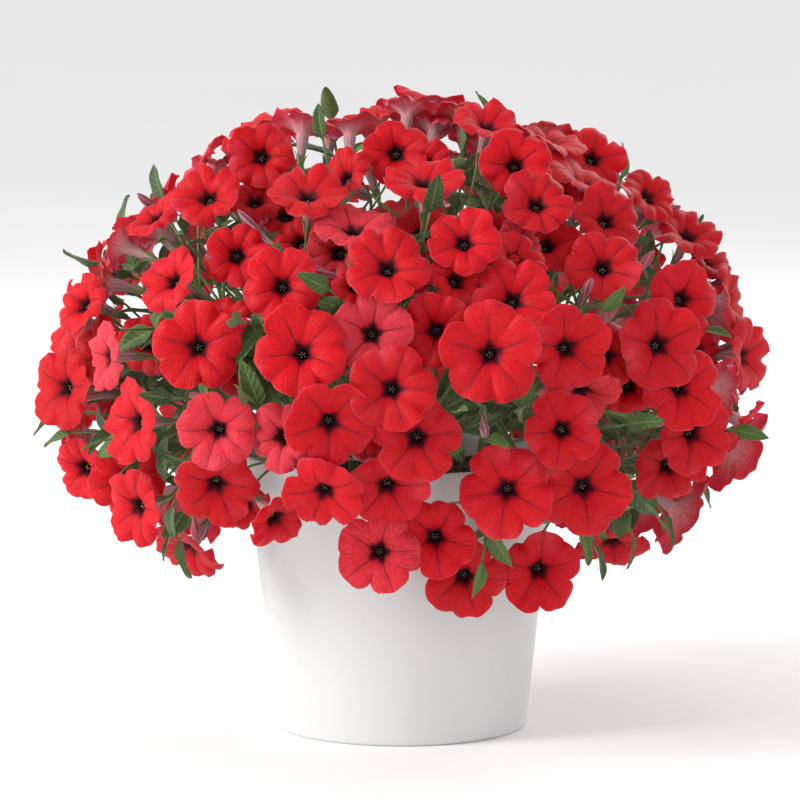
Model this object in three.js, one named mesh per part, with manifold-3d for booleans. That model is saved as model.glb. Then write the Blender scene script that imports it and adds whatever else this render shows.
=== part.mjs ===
// Potted petunia: a dense mound of red trumpet blooms on leafy stems, in a plain white tapered pot.
// Millimetres, +Z up. The origin is the centre of the pot's foot, which stands on the ground.
// -Y is the side that faces the viewer.
import * as THREE from "three";
import Module from "manifold-3d";

// Pot and soil
const POT_FOOT_RADIUS = 101;
const POT_RIM_RADIUS = 124;
const POT_HEIGHT = 220;
const POT_WALL = 3;
const POT_FLOOR = 4;
const POT_SIDES = 36;
const FOOT_ROUND = 3;
const RIM_ROUND = 1.2;
const DRAIN_HOLES = 4;
const DRAIN_RADIUS = 5;
const DRAIN_CIRCLE = 60;
const SOIL_TOP = 203;
const SOIL_SIDES = 18;
const STEM_HOLE_RADIUS = 5.8;
const SOIL_LUMP = 2.2;
const GAP = 0.3;

// Mound: the blooms' centres lie on two half ellipsoids that share a widest level.
const MOUND_LEVEL = 270;
const MOUND_RADIUS = 283;
const MOUND_CROWN = 230;
const MOUND_SKIRT = 160;
const CURTAIN_RADIUS = 160;

// The viewer's eye: 1 pixel of the picture is 0.8 mm at the pot's axis.
const MM_PER_PIXEL = 0.8;
const EYE_DISTANCE = 4000;
const EYE_RISE = THREE.MathUtils.degToRad(7.5);
const PICTURE_MIDDLE = 400;
const AIM = new THREE.Vector3(-0.8, 0, 262);

// Blooms that face the viewer, the topmost first: pixel across, pixel down, width in pixels,
// turn to the viewer's right and upwards in degrees, and layers down from the surface.
const FRONT_BLOOMS = [
  [490, 354, 94, 0, 10, 0],
  [198, 347, 84, -5, 10, 0],
  [583, 487, 90, 6, -2, 0],
  [464, 577, 78, 3, -12, 0],
  [302, 353, 86, -4, 22, 0],
  [392, 389, 80, 0, 10, 0],
  [388, 269, 80, 3, 34, 0],
  [282, 287, 74, -4, 14, 0],
  [329, 422, 82, 5, -8, 0],
  [544, 576, 80, 14, -8, 0],
  [379, 552, 78, -3, 4, 0],
  [658, 345, 86, 20, 12, 0],
  [66, 388, 80, -42, 6, 0],
  [137, 422, 82, -55, 4, 0],
  [218, 430, 74, -14, -4, 0],
  [138, 507, 76, -44, -6, 0],
  [417, 438, 82, 2, -6, 0],
  [680, 388, 82, 26, 8, 0],
  [748, 356, 76, 62, 2, 0],
  [261, 157, 64, -6, 18, 0],
  [396, 153, 62, -2, 20, 0],
  [515, 166, 70, 6, 22, 0],
  [594, 157, 68, 22, 34, 0],
  [208, 198, 68, -18, 42, 0],
  [308, 197, 76, 4, 62, 0],
  [424, 184, 76, 2, 66, 0],
  [173, 281, 68, -48, 28, 0],
  [464, 243, 68, 2, 30, 0],
  [537, 205, 68, 8, 38, 0],
  [606, 221, 68, 24, 34, 0],
  [648, 197, 62, 46, 34, 0],
  [603, 268, 70, 6, 28, 0],
  [682, 299, 74, 30, 12, 0],
  [690, 235, 66, 34, 52, 0],
  [566, 348, 80, 18, 6, 0],
  [562, 430, 72, 6, 6, 0],
  [109, 357, 66, -64, 2, 0],
  [216, 484, 80, 0, -28, 0],
  [324, 491, 76, -10, -32, 0],
  [507, 490, 88, -5, -2, 1],
  [372, 334, 76, 3, 12, 1],
  [387, 486, 78, 0, -24, 1],
  [435, 538, 76, -2, -4, 1],
  [237, 256, 62, 4, 16, 1],
  [436, 331, 70, -3, 6, 1],
  [513, 301, 78, 5, 28, 1],
  [692, 434, 76, 26, -4, 1],
  [283, 437, 66, -24, 0, 1],
  [128, 480, 76, -14, 2, 1],
  [52, 476, 62, -36, -6, 0],
  [84, 305, 62, -50, 26, 0],
  [753, 292, 66, 78, 12, 0],
  [303, 130, 62, 172, 62, 0],
  [408, 107, 62, 168, 58, 0],
  [548, 130, 58, 178, 60, 0],
  [462, 106, 58, -170, 62, 0],
  [475, 131, 58, 4, 46, 1],
  [425, 164, 52, -8, 24, 2],
  [345, 178, 60, -46, 34, 1],
  [354, 231, 74, 6, 62, 1],
  [300, 242, 54, -24, 40, 2],
  [456, 281, 64, 28, 26, 2],
  [231, 358, 70, 12, 4, 2],
  [156, 219, 58, -58, 48, 0],
  [123, 246, 54, -118, 18, 0],
  [350, 130, 54, 176, 62, 1],
  [435, 112, 54, 176, 64, 1],
  [494, 122, 52, 160, 56, 1],
  [515, 259, 62, 36, 40, 1],
  [546, 246, 68, 6, 44, 2],
  [607, 355, 62, 26, 4, 2],
  [581, 392, 74, 14, -46, 2],
  [668, 466, 72, 16, -18, 2],
  [275, 519, 60, 36, -28, 0],
  [244, 506, 54, 8, -38, 1],
  [500, 606, 54, 30, -55, 0],
  [729, 254, 58, 60, 44, 0],
  [727, 312, 62, 126, -4, 1],
  [745, 424, 60, 74, -34, 0],
  [720, 388, 60, 118, -10, 1],
  [762, 374, 58, 86, 2, 1],
  [64, 296, 56, -80, 22, 1],
  [46, 345, 60, -70, 2, 1],
  [52, 446, 62, -106, -20, 1],
  [76, 518, 56, -62, -48, 0],
  [40, 394, 58, -88, 2, 2],
  [108, 283, 50, -100, 12, 1],
  [150, 345, 60, -20, 2, 2],
  [255, 202, 56, -10, 50, 2],
  [212, 170, 52, 150, 50, 1],
  [136, 216, 50, -110, 48, 2],
  [339, 253, 60, -8, 18, 2],
  [285, 216, 56, 4, 42, 3],
  [420, 236, 58, -4, 38, 3],
  [505, 232, 56, 4, 44, 3],
  [592, 184, 52, 18, 58, 3],
  [632, 176, 52, 58, 48, 2],
  [628, 386, 56, 6, 2, 3],
  [702, 350, 56, 40, 4, 3],
  [362, 432, 56, 2, 2, 3],
];

// Furled buds: pixel of the tip, pixel of the base
const FRONT_BUDS = [
  [237, 209, 282, 253],
  [104, 255, 118, 280],
  [44, 322, 85, 343],
  [28, 462, 60, 445],
  [90, 545, 111, 515],
  [195, 540, 195, 510],
  [298, 265, 362, 285],
  [206, 255, 232, 280],
  [432, 482, 428, 450],
  [485, 438, 483, 408],
  [398, 597, 398, 566],
  [410, 145, 408, 172],
  [488, 155, 493, 190],
  [556, 130, 558, 157],
  [697, 195, 672, 205],
  [655, 250, 625, 290],
  [592, 280, 578, 308],
  [662, 425, 628, 416],
  [764, 420, 728, 436],
  [742, 275, 710, 285],
];

// Leafy shoots that show between the blooms, by the pixel of their tip
const FRONT_SHOOTS = [
  [455, 412], [522, 412], [498, 442], [602, 312], [625, 425], [612, 468], [652, 512], [640, 540],
  [580, 528], [232, 330], [250, 398], [172, 398], [243, 322], [392, 207], [430, 212], [330, 290],
  [72, 432], [172, 506], [732, 430], [300, 178], [482, 560], [323, 140], [560, 262], [716, 262],
  [700, 330], [120, 330], [606, 180], [545, 320], [345, 300], [105, 440], [668, 492], [268, 330],
];

// Blooms, in their own sizes
const LOBES = 5;
const CUP_SLOPE = 0.26;
const THROAT_DEPTH = 4;
const TUBE_LENGTH = 31;
const TUBE_MOUTH = 5.4;
const TUBE_MOUTH_DEPTH = 7;
const TUBE_FOOT = 2.3;
const STALK_RADIUS = 1.05;
const LAYER = 12;
const SINK_STEP = 3;
const SINK_STEPS = 17;
const RISE_STEPS = 6;
const SIZES = [1, 0.88];
const SURFACE_INSET = 8;
const BUD_LENGTH = 30;
const BUD_LONGEST = 52;
const BUD_RADIUS = 3.4;
const BUD_INSET = 24;
const BUD_TIP_INSET = -2;
const BUD_SINK_STEP = 4;
const BUD_SINK_STEPS = 10;

// How far pieces stay from each other. A spare widens a bloom's cone, and a clearance is taken
// along its facing.
const POT_CLEAR = 5;
const PETAL_SPARE = 1.5;
const PETAL_CLEAR = 2.4;
const STALK_SPARE = 3.5;
const STALK_CLEAR = 4;
const STALKS_APART = 7;
const BLOOM_REACH = 190;
const LEAF_SPARE = 2.5;
const LEAF_CLEAR = 2.6;
const LEAF_REACH = 110;
const TUBE_ROOM = 3;
const BUD_ROOM = 2.6;
const STALK_ROOM = 3;
const HIDDEN = 0.02;

// Blooms and shoots on the sides that the viewer doesn't see, by rule
const SEED = 20251;
const RULE_BLOOMS = 330;
const RULE_SPACING = 41;
const CROWN_STEEP = 0.78;
const CROWN_HIDDEN = 0.32;
const RULE_BUDS = 40;
const RULE_SHOOTS = 170;
const SHOOT_STRIDE = 61;
const SHOOT_TRIES = 8;
const SHOOT_SIDE = 0.25;
const SHOOT_SHARES = [1, 0.86, 0.72];
const SHOOT_SHORTEST = 24;
const SHOOT_INSETS = [8, 10];
const SHOOT_LIFT = 60;
const SEAT_ABOVE_POT = 12;
const HUB_ROOM = 16;
const MAX_SHOOTS = 44;
const FEWEST_LEAVES = 3;
const GOLDEN_ANGLE = Math.PI * (3 - Math.sqrt(5));

// Each spray's stalks meet in a hub. Rings of hubs: height, distance from the axis, how many,
// and the point of the leafy stem that carries each hub.
const STEMS = 12;
const HUB_RINGS = [
  { height: 404, out: 6, count: 1, seatHeight: 376, seatOut: 20 },
  { height: 388, out: 90, count: 6, seatHeight: 366, seatOut: 72 },
  { height: 345, out: 160, count: 12, seatHeight: 327, seatOut: 140 },
  { height: 286, out: 192, count: 12, seatHeight: 276, seatOut: 170 },
  { height: 236, out: 184, count: 12, seatHeight: 252, seatOut: 164 },
];
const HUB_RADIUS = 4.5;
const HUB_HALF = 4;
const HUB_REACH = 11;
const STRAIGHT = 0.35;
const BUD_FOOT = 1.7;

// Leafy stems, in the upright plane of each stem: distance from the axis and height
const STEM_FOOT = 24;
const STEM_RADIUS = 4.2;
const BRANCH_RADIUS = 3;
const STEM_TAPER = 0.4;
const INNER_TRUNK = [[38, SOIL_TOP - STEM_FOOT], [38, 212], [42, 244], [58, 318], [72, 366]];
const OUTER_TRUNK = [[74, SOIL_TOP - STEM_FOOT], [74, 212], [80, 240], [112, 294], [140, 327]];
const INNER_RISER = [[43, 248], [100, 298], [140, 327]];
const INNER_ARCH = [[42, 240], [112, 260], [170, 276]];
const OUTER_ARCH = [[78, 233], [124, 264], [170, 276]];
const DROOP = [[142, 268], [164, 252]];
const CROWN = [[57, 314], [34, 352], [20, 376]];
const SHOOT_RADIUS = 1.4;
const SHOOT_NECK = 1;
const SHOOT_CLEAR = 6.5;
const LEAF_LENGTHS = [30, 44];
const LEAF_WIDTH = 0.44;
const LEAF_THICK = 1.32;
const LEAF_DROOP = 0.22;
const LEAF_STATIONS = [[0.01, 0.14], [0.35, 1], [0.7, 0.8]];
const LEAF_PAIRS = [[0.72, 1], [0.45, 1.1]];
const LAST_LEAF = 0.8;
const DOOR_HALF = 1.3;
const KEEP_CLEAR = 0.4;
const MERGES = [0.08, 0.05, 0.02, 0.01, 0.2, 0];
const SLIVER = 0.0007;
const FINEST = 1e-4;

// A lobe's rim: degrees round from its notch, share of the radius, and which way it waves
const RIM_WAVE = 0.05;
const RIM = [[0, 0.87, 0], [23, 1, 1], [49, 0.99, -1]];
const COVERED_RIM = [[0, 0.91, 0], [36, 1, 0.6]];

const GREEN = new THREE.MeshStandardMaterial({ color: 0x3f6b26, roughness: 0.7, metalness: 0 });
const RED = new THREE.MeshStandardMaterial({ color: 0xd8182a, roughness: 0.55, metalness: 0 });
const WHITE = new THREE.MeshStandardMaterial({ color: 0xf2f2f0, roughness: 0.35, metalness: 0 });
const BROWN = new THREE.MeshStandardMaterial({ color: 0x3b2a1e, roughness: 0.95, metalness: 0 });

const wasm = await Module();
wasm.setup();

// Repeatable draws: the minimal standard generator, which whole numbers hold exactly
function makeDraw(seed) {
  let state = seed;
  return (low, high) => {
    state = (state * 16807) % 2147483647;
    return low + ((high - low) * state) / 2147483647;
  };
}

function vector(x, y, z) {
  return new THREE.Vector3(x, y, z);
}

function between(a, b, share) {
  return a.clone().lerp(b, share);
}

function unit(a) {
  return a.clone().normalize();
}

function cross(a, b) {
  return new THREE.Vector3().crossVectors(a, b);
}

// The part of a direction that is square to another one, one unit long
function squared(direction, axis) {
  return direction.clone().addScaledVector(axis, -direction.dot(axis)).normalize();
}

function polar(angle, out, height) {
  return vector(out * Math.cos(angle), out * Math.sin(angle), height);
}

// Mound

// A point of the mound in a direction, taken as if each half were round
function moundPoint(direction, inset) {
  const rise = direction.z > 0 ? MOUND_CROWN : MOUND_SKIRT;
  const wide = MOUND_RADIUS - inset;
  return vector(direction.x * wide, direction.y * wide, MOUND_LEVEL + direction.z * (rise - inset));
}

function moundNormal(point) {
  const rise = point.z > MOUND_LEVEL ? MOUND_CROWN : MOUND_SKIRT;
  const steep = (MOUND_RADIUS / rise) ** 2;
  return vector(point.x, point.y, (point.z - MOUND_LEVEL) * steep).normalize();
}

const EYE_BACK = vector(0, -Math.cos(EYE_RISE), Math.sin(EYE_RISE));
const EYE_UP = vector(0, Math.sin(EYE_RISE), Math.cos(EYE_RISE));
const EYE = AIM.clone().addScaledVector(EYE_BACK, EYE_DISTANCE);

function sightLine(across, down) {
  const line = EYE_BACK.clone().multiplyScalar(-EYE_DISTANCE);
  line.x += (across - PICTURE_MIDDLE) * MM_PER_PIXEL;
  line.addScaledVector(EYE_UP, (PICTURE_MIDDLE - down) * MM_PER_PIXEL);
  return line.normalize();
}

// Where a sight line meets the mound, or passes nearest to it. The two halves are round once
// their heights are scaled to one.
function moundHit(line, inset) {
  let nearest = null;
  for (const rise of [MOUND_CROWN, MOUND_SKIRT]) {
    const wide = MOUND_RADIUS - inset;
    const tall = rise - inset;
    const from = vector(EYE.x / wide, EYE.y / wide, (EYE.z - MOUND_LEVEL) / tall);
    const run = vector(line.x / wide, line.y / wide, line.z / tall);
    const a = run.lengthSq();
    const b = from.dot(run);
    const spare = b * b - a * (from.lengthSq() - 1);
    const travel = (-b - Math.sqrt(Math.max(spare, 0))) / a;
    const scaled = from.clone().addScaledVector(run, travel);
    const upper = rise === MOUND_CROWN;
    if (scaled.z > 0 === upper) {
      if (spare < 0) scaled.normalize();
      nearest = vector(scaled.x * wide, scaled.y * wide, MOUND_LEVEL + scaled.z * tall);
    }
  }
  return nearest;
}

// Placing

// Height of a point over a bloom's cone, or null beside it
function overCone(point, bloom, spare) {
  const from = point.clone().sub(bloom.centre);
  const along = from.dot(bloom.facing);
  const out = Math.sqrt(Math.max(0, from.lengthSq() - along * along));
  return out > bloom.radius + spare ? null : along - CUP_SLOPE * out;
}

// Points that lie on both sides of a bloom's cone, or too near it, pass through its petals.
function passesThrough(points, bloom, spare, clear) {
  let above = false;
  let below = false;
  for (const point of points) {
    const height = overCone(point, bloom, spare);
    if (height === null) continue;
    if (Math.abs(height) < clear) return true;
    above = above || height > 0;
    below = below || height <= 0;
  }
  return above && below;
}

function potRadius(height) {
  return POT_FOOT_RADIUS + ((POT_RIM_RADIUS - POT_FOOT_RADIUS) * height) / POT_HEIGHT;
}

function touchesPot(points) {
  return points.some((point) => point.z < POT_HEIGHT + POT_CLEAR
    && Math.hypot(point.x, point.y) < potRadius(point.z) + POT_CLEAR);
}

function nearTo(points, others, distance) {
  return points.some((a) => others.some((b) => a.distanceToSquared(b) < distance * distance));
}

function steps(from, to, count) {
  return Array.from({ length: count + 1 }, (_, index) => between(from, to, index / count));
}

function makeHubs() {
  const hubs = [];
  HUB_RINGS.forEach((ring, level) => {
    for (let index = 0; index < ring.count; index += 1) {
      const stem = index * (STEMS / ring.count);
      const angle = stemAngle(stem);
      const centre = polar(angle, ring.out, ring.height);
      const seat = polar(angle, ring.seatOut, ring.seatHeight);
      hubs.push({ level, stem, centre, seat, axis: unit(centre.clone().sub(seat)) });
    }
  });
  return hubs;
}

function stemAngle(stem) {
  return (stem * 2 * Math.PI) / STEMS;
}

function nearestHub(point, hubs) {
  return hubs.reduce((best, hub) =>
    hub.centre.distanceTo(point) < best.centre.distanceTo(point) ? hub : best);
}

// A bloom's own axes, its stalk and the points by which it is kept clear of the others
function settle(bloom, centre, hubs) {
  const facing = bloom.facing;
  const lean = Math.abs(facing.z) < 0.9 ? vector(0, 0, 1) : vector(0, 1, 0);
  const level = squared(lean, facing);
  const side = cross(level, facing);
  const x = side.multiplyScalar(Math.cos(bloom.roll)).addScaledVector(level, Math.sin(bloom.roll));
  const y = cross(facing, x);
  const foot = centre.clone().addScaledVector(facing, -TUBE_LENGTH);
  const hub = nearestHub(foot, hubs);
  const petals = [centre];
  for (let index = 0; index < 12; index += 1) {
    const angle = (index * Math.PI) / 6;
    for (const share of [0.55, 1]) {
      const out = bloom.radius * share;
      petals.push(centre.clone().addScaledVector(x, out * Math.cos(angle))
        .addScaledVector(y, out * Math.sin(angle)).addScaledVector(facing, out * CUP_SLOPE));
    }
  }
  const stalk = [...steps(centre.clone().addScaledVector(facing, -6), foot, 3),
    ...steps(foot, hub.centre, 8).slice(1, 8)];
  return { ...bloom, centre, x, y, foot, hub, petals, stalk };
}

// A count of what a bloom would run into, each kind with its own weight
function conflicts(bloom, placed) {
  let count = touchesPot([...bloom.petals, ...bloom.stalk]) ? 5 : 0;
  for (const other of placed) {
    if (other.centre.distanceTo(bloom.centre) > BLOOM_REACH) continue;
    if (passesThrough(bloom.petals, other, PETAL_SPARE, PETAL_CLEAR)) count += 2;
    if (passesThrough(other.petals, bloom, PETAL_SPARE, PETAL_CLEAR)) count += 2;
    if (passesThrough(bloom.stalk, other, STALK_SPARE, STALK_CLEAR)) count += 3;
    if (passesThrough(other.stalk, bloom, STALK_SPARE, STALK_CLEAR)) count += 3;
    if (other.hub !== bloom.hub && nearTo(bloom.stalk, other.stalk, STALKS_APART)) count += 3;
  }
  return count;
}

// Each bloom sinks in from the mound's surface until it is clear of those before it.
function placeBloom(bloom, start, inward, placed, hubs) {
  let best = null;
  let fewest = Infinity;
  for (const size of SIZES) {
    for (let index = 0; index < SINK_STEPS + RISE_STEPS; index += 1) {
      const step = index < SINK_STEPS ? index : SINK_STEPS - 1 - index;
      const centre = start.clone().addScaledVector(inward, step * SINK_STEP);
      const tried = settle({ ...bloom, radius: bloom.radius * size }, centre, hubs);
      const count = conflicts(tried, placed);
      if (count < fewest) {
        fewest = count;
        best = tried;
      }
      if (count === 0) return { best, fewest };
    }
  }
  return { best, fewest };
}

function facingOf(turn, rise) {
  const across = THREE.MathUtils.degToRad(turn);
  const up = THREE.MathUtils.degToRad(rise);
  return vector(Math.sin(across) * Math.cos(up), -Math.cos(across) * Math.cos(up), Math.sin(up));
}

function placeBlooms(hubs) {
  const placed = [];
  const draw = makeDraw(SEED);
  for (const [across, down, width, turn, rise, layer] of FRONT_BLOOMS) {
    const line = sightLine(across, down);
    const bloom = {
      facing: facingOf(turn, rise),
      radius: (width * MM_PER_PIXEL) / 2,
      roll: draw(0, 2 * Math.PI),
      wave: draw(0, 2 * Math.PI),
      covered: layer > 1,
    };
    const start = moundHit(line, layer * LAYER + SURFACE_INSET);
    while (Math.hypot(start.x, start.y) < CURTAIN_RADIUS && start.z < POT_HEIGHT) {
      start.addScaledVector(line, -SINK_STEP);
    }
    placed.push(placeBloom(bloom, start, line, placed, hubs).best);
  }
  for (let index = 0; index < RULE_BLOOMS; index += 1) {
    const rise = 0.985 - (1.8 * (index + 0.5)) / RULE_BLOOMS + draw(-0.03, 0.03);
    const angle = index * GOLDEN_ANGLE + draw(-0.08, 0.08);
    const lean = vector(draw(-0.4, 0.4), draw(-0.4, 0.4), draw(-0.2, 0.5));
    const radius = draw(28, 36);
    const roll = draw(0, 2 * Math.PI);
    const wave = draw(0, 2 * Math.PI);
    const inset = draw(2, 14);
    const flat = Math.sqrt(Math.max(0, 1 - rise * rise));
    const start = moundPoint(vector(flat * Math.cos(angle), flat * Math.sin(angle), rise), inset);
    const normal = moundNormal(start);
    const limit = normal.z > CROWN_STEEP ? CROWN_HIDDEN : HIDDEN;
    if (normal.dot(EYE_BACK) > limit) continue;
    if (placed.some((other) => other.centre.distanceTo(start) < RULE_SPACING)) continue;
    const facing = unit(normal.clone().add(lean));
    const bloom = { facing, radius, roll, wave, covered: true };
    const result = placeBloom(bloom, start, normal.clone().negate(), placed, hubs);
    if (result.fewest === 0) placed.push(result.best);
  }
  return placed;
}

// The stretches that a leaf, bud or shoot has to pass clear of, with how far off each needs
function stretchesOf(blooms, buds) {
  const tubes = blooms.map((bloom) => [bloom.centre, bloom.foot, TUBE_MOUTH + TUBE_ROOM]);
  const spindles = buds.map((bud) => [bud.tip, bud.foot, BUD_RADIUS + BUD_ROOM]);
  const stalks = [...blooms, ...buds].map((one) =>
    [one.foot, one.hub.centre, STALK_RADIUS + STALK_ROOM]);
  return [...tubes, ...spindles, ...stalks];
}

function offStretch(point, from, to) {
  const run = to.clone().sub(from);
  const share = point.clone().sub(from).dot(run) / run.lengthSq();
  return point.distanceTo(from.clone().addScaledVector(run, Math.min(1, Math.max(0, share))));
}

function isClear(points, blooms, stretches) {
  if (touchesPot(points)) return false;
  const middle = between(points[0], points[points.length - 1], 0.5);
  if (blooms.some((bloom) => bloom.centre.distanceTo(middle) < LEAF_REACH
    && passesThrough(points, bloom, LEAF_SPARE, LEAF_CLEAR))) return false;
  return !stretches.some(([from, to, distance]) =>
    points.some((point) => offStretch(point, from, to) < distance));
}

function placeBud(tip, foot, inward, hubs, blooms, buds) {
  const stretches = stretchesOf(blooms, buds);
  for (let step = 0; step < BUD_SINK_STEPS; step += 1) {
    const shift = inward.clone().multiplyScalar(BUD_SINK_STEP * step);
    const bud = { tip: tip.clone().add(shift), foot: foot.clone().add(shift) };
    bud.hub = nearestHub(bud.foot, hubs);
    const others = stretches.filter(([, to]) => to !== bud.hub.centre);
    const body = steps(bud.tip, bud.foot, 5);
    const stalk = steps(bud.foot, bud.hub.centre, 10).slice(1);
    if (!isClear(stalk, blooms, others)) continue;
    if (isClear(body, blooms, stretches)) return bud;
  }
  return null;
}

function placeBuds(hubs, blooms) {
  const draw = makeDraw(SEED + 1);
  const buds = [];
  for (const [tipAcross, tipDown, footAcross, footDown] of FRONT_BUDS) {
    const line = sightLine(footAcross, footDown);
    const foot = moundHit(line, BUD_INSET);
    const tip = moundHit(sightLine(tipAcross, tipDown), BUD_TIP_INSET);
    const reach = Math.min(BUD_LONGEST, Math.max(BUD_LENGTH, tip.distanceTo(foot)));
    const way = unit(tip.clone().sub(foot));
    const bud = placeBud(foot.clone().addScaledVector(way, reach), foot, line, hubs, blooms, buds);
    if (bud) buds.push(bud);
  }
  for (let index = 0; index < RULE_BUDS; index += 1) {
    const rise = draw(-0.7, 0.95);
    const angle = draw(0, 2 * Math.PI);
    const lean = vector(draw(-0.6, 0.6), draw(-0.6, 0.6), draw(-0.4, 0.6));
    const flat = Math.sqrt(1 - rise * rise);
    const direction = vector(flat * Math.cos(angle), flat * Math.sin(angle), rise);
    const foot = moundPoint(direction, BUD_INSET + 2);
    const normal = moundNormal(foot);
    if (normal.dot(EYE_BACK) > HIDDEN) continue;
    const tip = foot.clone().addScaledVector(unit(normal.clone().add(lean)), BUD_LENGTH + 6);
    const bud = placeBud(tip, foot, normal.clone().negate(), hubs, blooms, buds);
    if (bud) buds.push(bud);
  }
  return buds;
}

// The trunk and branches of a stem. Each branch runs on from its last point to just below the
// hub of the spray that it carries.
function stemPaths(stem, hubs) {
  const plans = stem % 2 === 0
    ? [[INNER_TRUNK, 1], [INNER_RISER, 2], [INNER_ARCH, 3], [DROOP, 4]]
    : [[OUTER_TRUNK, 2], [OUTER_ARCH, 3], [DROOP, 4]];
  if (stem === 0) plans.push([CROWN, 0]);
  return plans.map(([plan, level], index) => {
    const points = plan.map(([out, height]) => polar(stemAngle(stem), out, height));
    const hub = hubs.find((one) => one.stem === stem && one.level === level);
    if (hub) points.push(hub.centre.clone().addScaledVector(hub.axis, -HUB_HALF - GAP));
    return { points, trunk: index === 0 };
  });
}

// A leaf's own points: its middle line sinks towards the tip
function leafPoint(leaf, share, aside) {
  return leaf.base.clone().addScaledVector(leaf.along, leaf.length * share)
    .addScaledVector(leaf.side, aside * leaf.length * LEAF_WIDTH * 0.5)
    .addScaledVector(leaf.up, -LEAF_DROOP * leaf.length * share * share);
}

function leafSamples(leaf) {
  const spots = [[0.2, 0], [0.35, -1], [0.35, 1], [0.5, 0], [0.7, -0.8], [0.7, 0.8], [1, 0]];
  return spots.map(([share, aside]) => leafPoint(leaf, share, aside));
}

function makeLeaf(base, along, up, length) {
  const squareUp = squared(up, along);
  return { base, along, up: squareUp, side: cross(along, squareUp), length };
}

// Pairs of leaves stand across a shoot, each pair square to the one before, and a last leaf
// carries the shoot on beyond its tip.
function shootLeaves(shoot, draw) {
  const { seat, tip, axis, side, up } = shoot;
  const leaves = [];
  LEAF_PAIRS.forEach(([share, size], pair) => {
    const outward = pair % 2 === 0 ? side : up;
    for (const way of [1, -1]) {
      const tilt = draw(0.75, 1.2);
      const along = axis.clone().multiplyScalar(Math.cos(tilt))
        .addScaledVector(outward, way * Math.sin(tilt));
      const length = draw(...LEAF_LENGTHS) * size;
      leaves.push({ pair, ...makeLeaf(between(seat, tip, share), along, axis, length) });
    }
  });
  const tilt = draw(-0.5, 0.3);
  const along = axis.clone().multiplyScalar(Math.cos(tilt)).addScaledVector(up, Math.sin(tilt));
  const length = draw(...LEAF_LENGTHS) * LAST_LEAF;
  leaves.push({ pair: null, ...makeLeaf(tip, along, up, length) });
  return leaves;
}

// A shoot's own axes: its upper side faces up, or out where it rises steeply.
function makeShoot(seat, tip, draw) {
  const axis = unit(tip.clone().sub(seat));
  const outward = vector(tip.x, tip.y, SHOOT_LIFT);
  const level = squared(outward, axis);
  const turn = draw(-0.7, 0.7);
  const up = level.clone().multiplyScalar(Math.cos(turn))
    .addScaledVector(cross(axis, level), Math.sin(turn));
  return { seat, tip, axis, up, side: cross(axis, up) };
}

function placeShoots(hubs, blooms, buds) {
  const draw = makeDraw(SEED + 2);
  const stretches = stretchesOf(blooms, buds);
  const seats = [];
  for (let stem = 0; stem < STEMS; stem += 1) {
    for (const path of stemPaths(stem, hubs)) {
      for (let index = 1; index < path.points.length; index += 1) {
        steps(path.points[index - 1], path.points[index], 4).slice(1)
          .forEach((point) => seats.push({ point, stem }));
      }
    }
  }
  const open = seats.filter(({ point }) => point.z > POT_HEIGHT + SEAT_ABOVE_POT
    && hubs.every((hub) => hub.centre.distanceTo(point) > HUB_ROOM));
  const [listedInset, ruledInset] = SHOOT_INSETS;
  const listed = FRONT_SHOOTS.map(([across, down]) =>
    moundHit(sightLine(across, down), listedInset));
  const ruled = [];
  for (let index = 0; index < RULE_SHOOTS; index += 1) {
    const spot = (index * SHOOT_STRIDE) % RULE_SHOOTS;
    const rise = 0.97 - (1.72 * (spot + 0.5)) / RULE_SHOOTS;
    const angle = spot * GOLDEN_ANGLE + draw(-0.1, 0.1);
    const flat = Math.sqrt(Math.max(0, 1 - rise * rise));
    const direction = vector(flat * Math.cos(angle), flat * Math.sin(angle), rise);
    const target = moundPoint(direction, ruledInset);
    if (moundNormal(target).dot(EYE_BACK) < SHOOT_SIDE) ruled.push(target);
  }
  const targets = ruled.flatMap((target, index) => [...listed.slice(index, index + 1), target]);
  const shoots = [];
  for (const target of targets) {
    const leafDraw = makeDraw(Math.floor(draw(1, 2147483646)));
    open.sort((a, b) => a.point.distanceTo(target) - b.point.distanceTo(target));
    let made = null;
    for (const seat of open.slice(0, SHOOT_TRIES)) {
      for (const share of SHOOT_SHARES) {
        const tip = between(seat.point, target, share);
        if (made || tip.distanceTo(seat.point) < SHOOT_SHORTEST) continue;
        const points = steps(seat.point, tip, 14).slice(1);
        if (!isClear(points, blooms, stretches)) continue;
        if (shoots.some((one) => nearTo(points, one.points, SHOOT_CLEAR))) continue;
        made = { ...makeShoot(seat.point, tip, leafDraw), stem: seat.stem, points };
      }
    }
    if (!made || shoots.length === MAX_SHOOTS) continue;
    made.leaves = shootLeaves(made, leafDraw)
      .filter((leaf) => isClear(leafSamples(leaf), blooms, stretches));
    if (made.leaves.length >= FEWEST_LEAVES) shoots.push(made);
  }
  return shoots;
}

// Solids

function signedVolume(points, faces) {
  return faces.reduce((sum, [a, b, c]) =>
    sum + points[a].dot(cross(points[b], points[c])) / 6, 0);
}

function solidOf(points, faces) {
  const outward = signedVolume(points, faces) > 0;
  const turned = outward ? faces : faces.map(([a, b, c]) => [a, c, b]);
  return new wasm.Manifold(new wasm.Mesh({
    numProp: 3,
    vertProperties: Float32Array.from(points.flatMap((point) => point.toArray())),
    triVerts: Uint32Array.from(turned.flat()),
  }));
}

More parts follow.
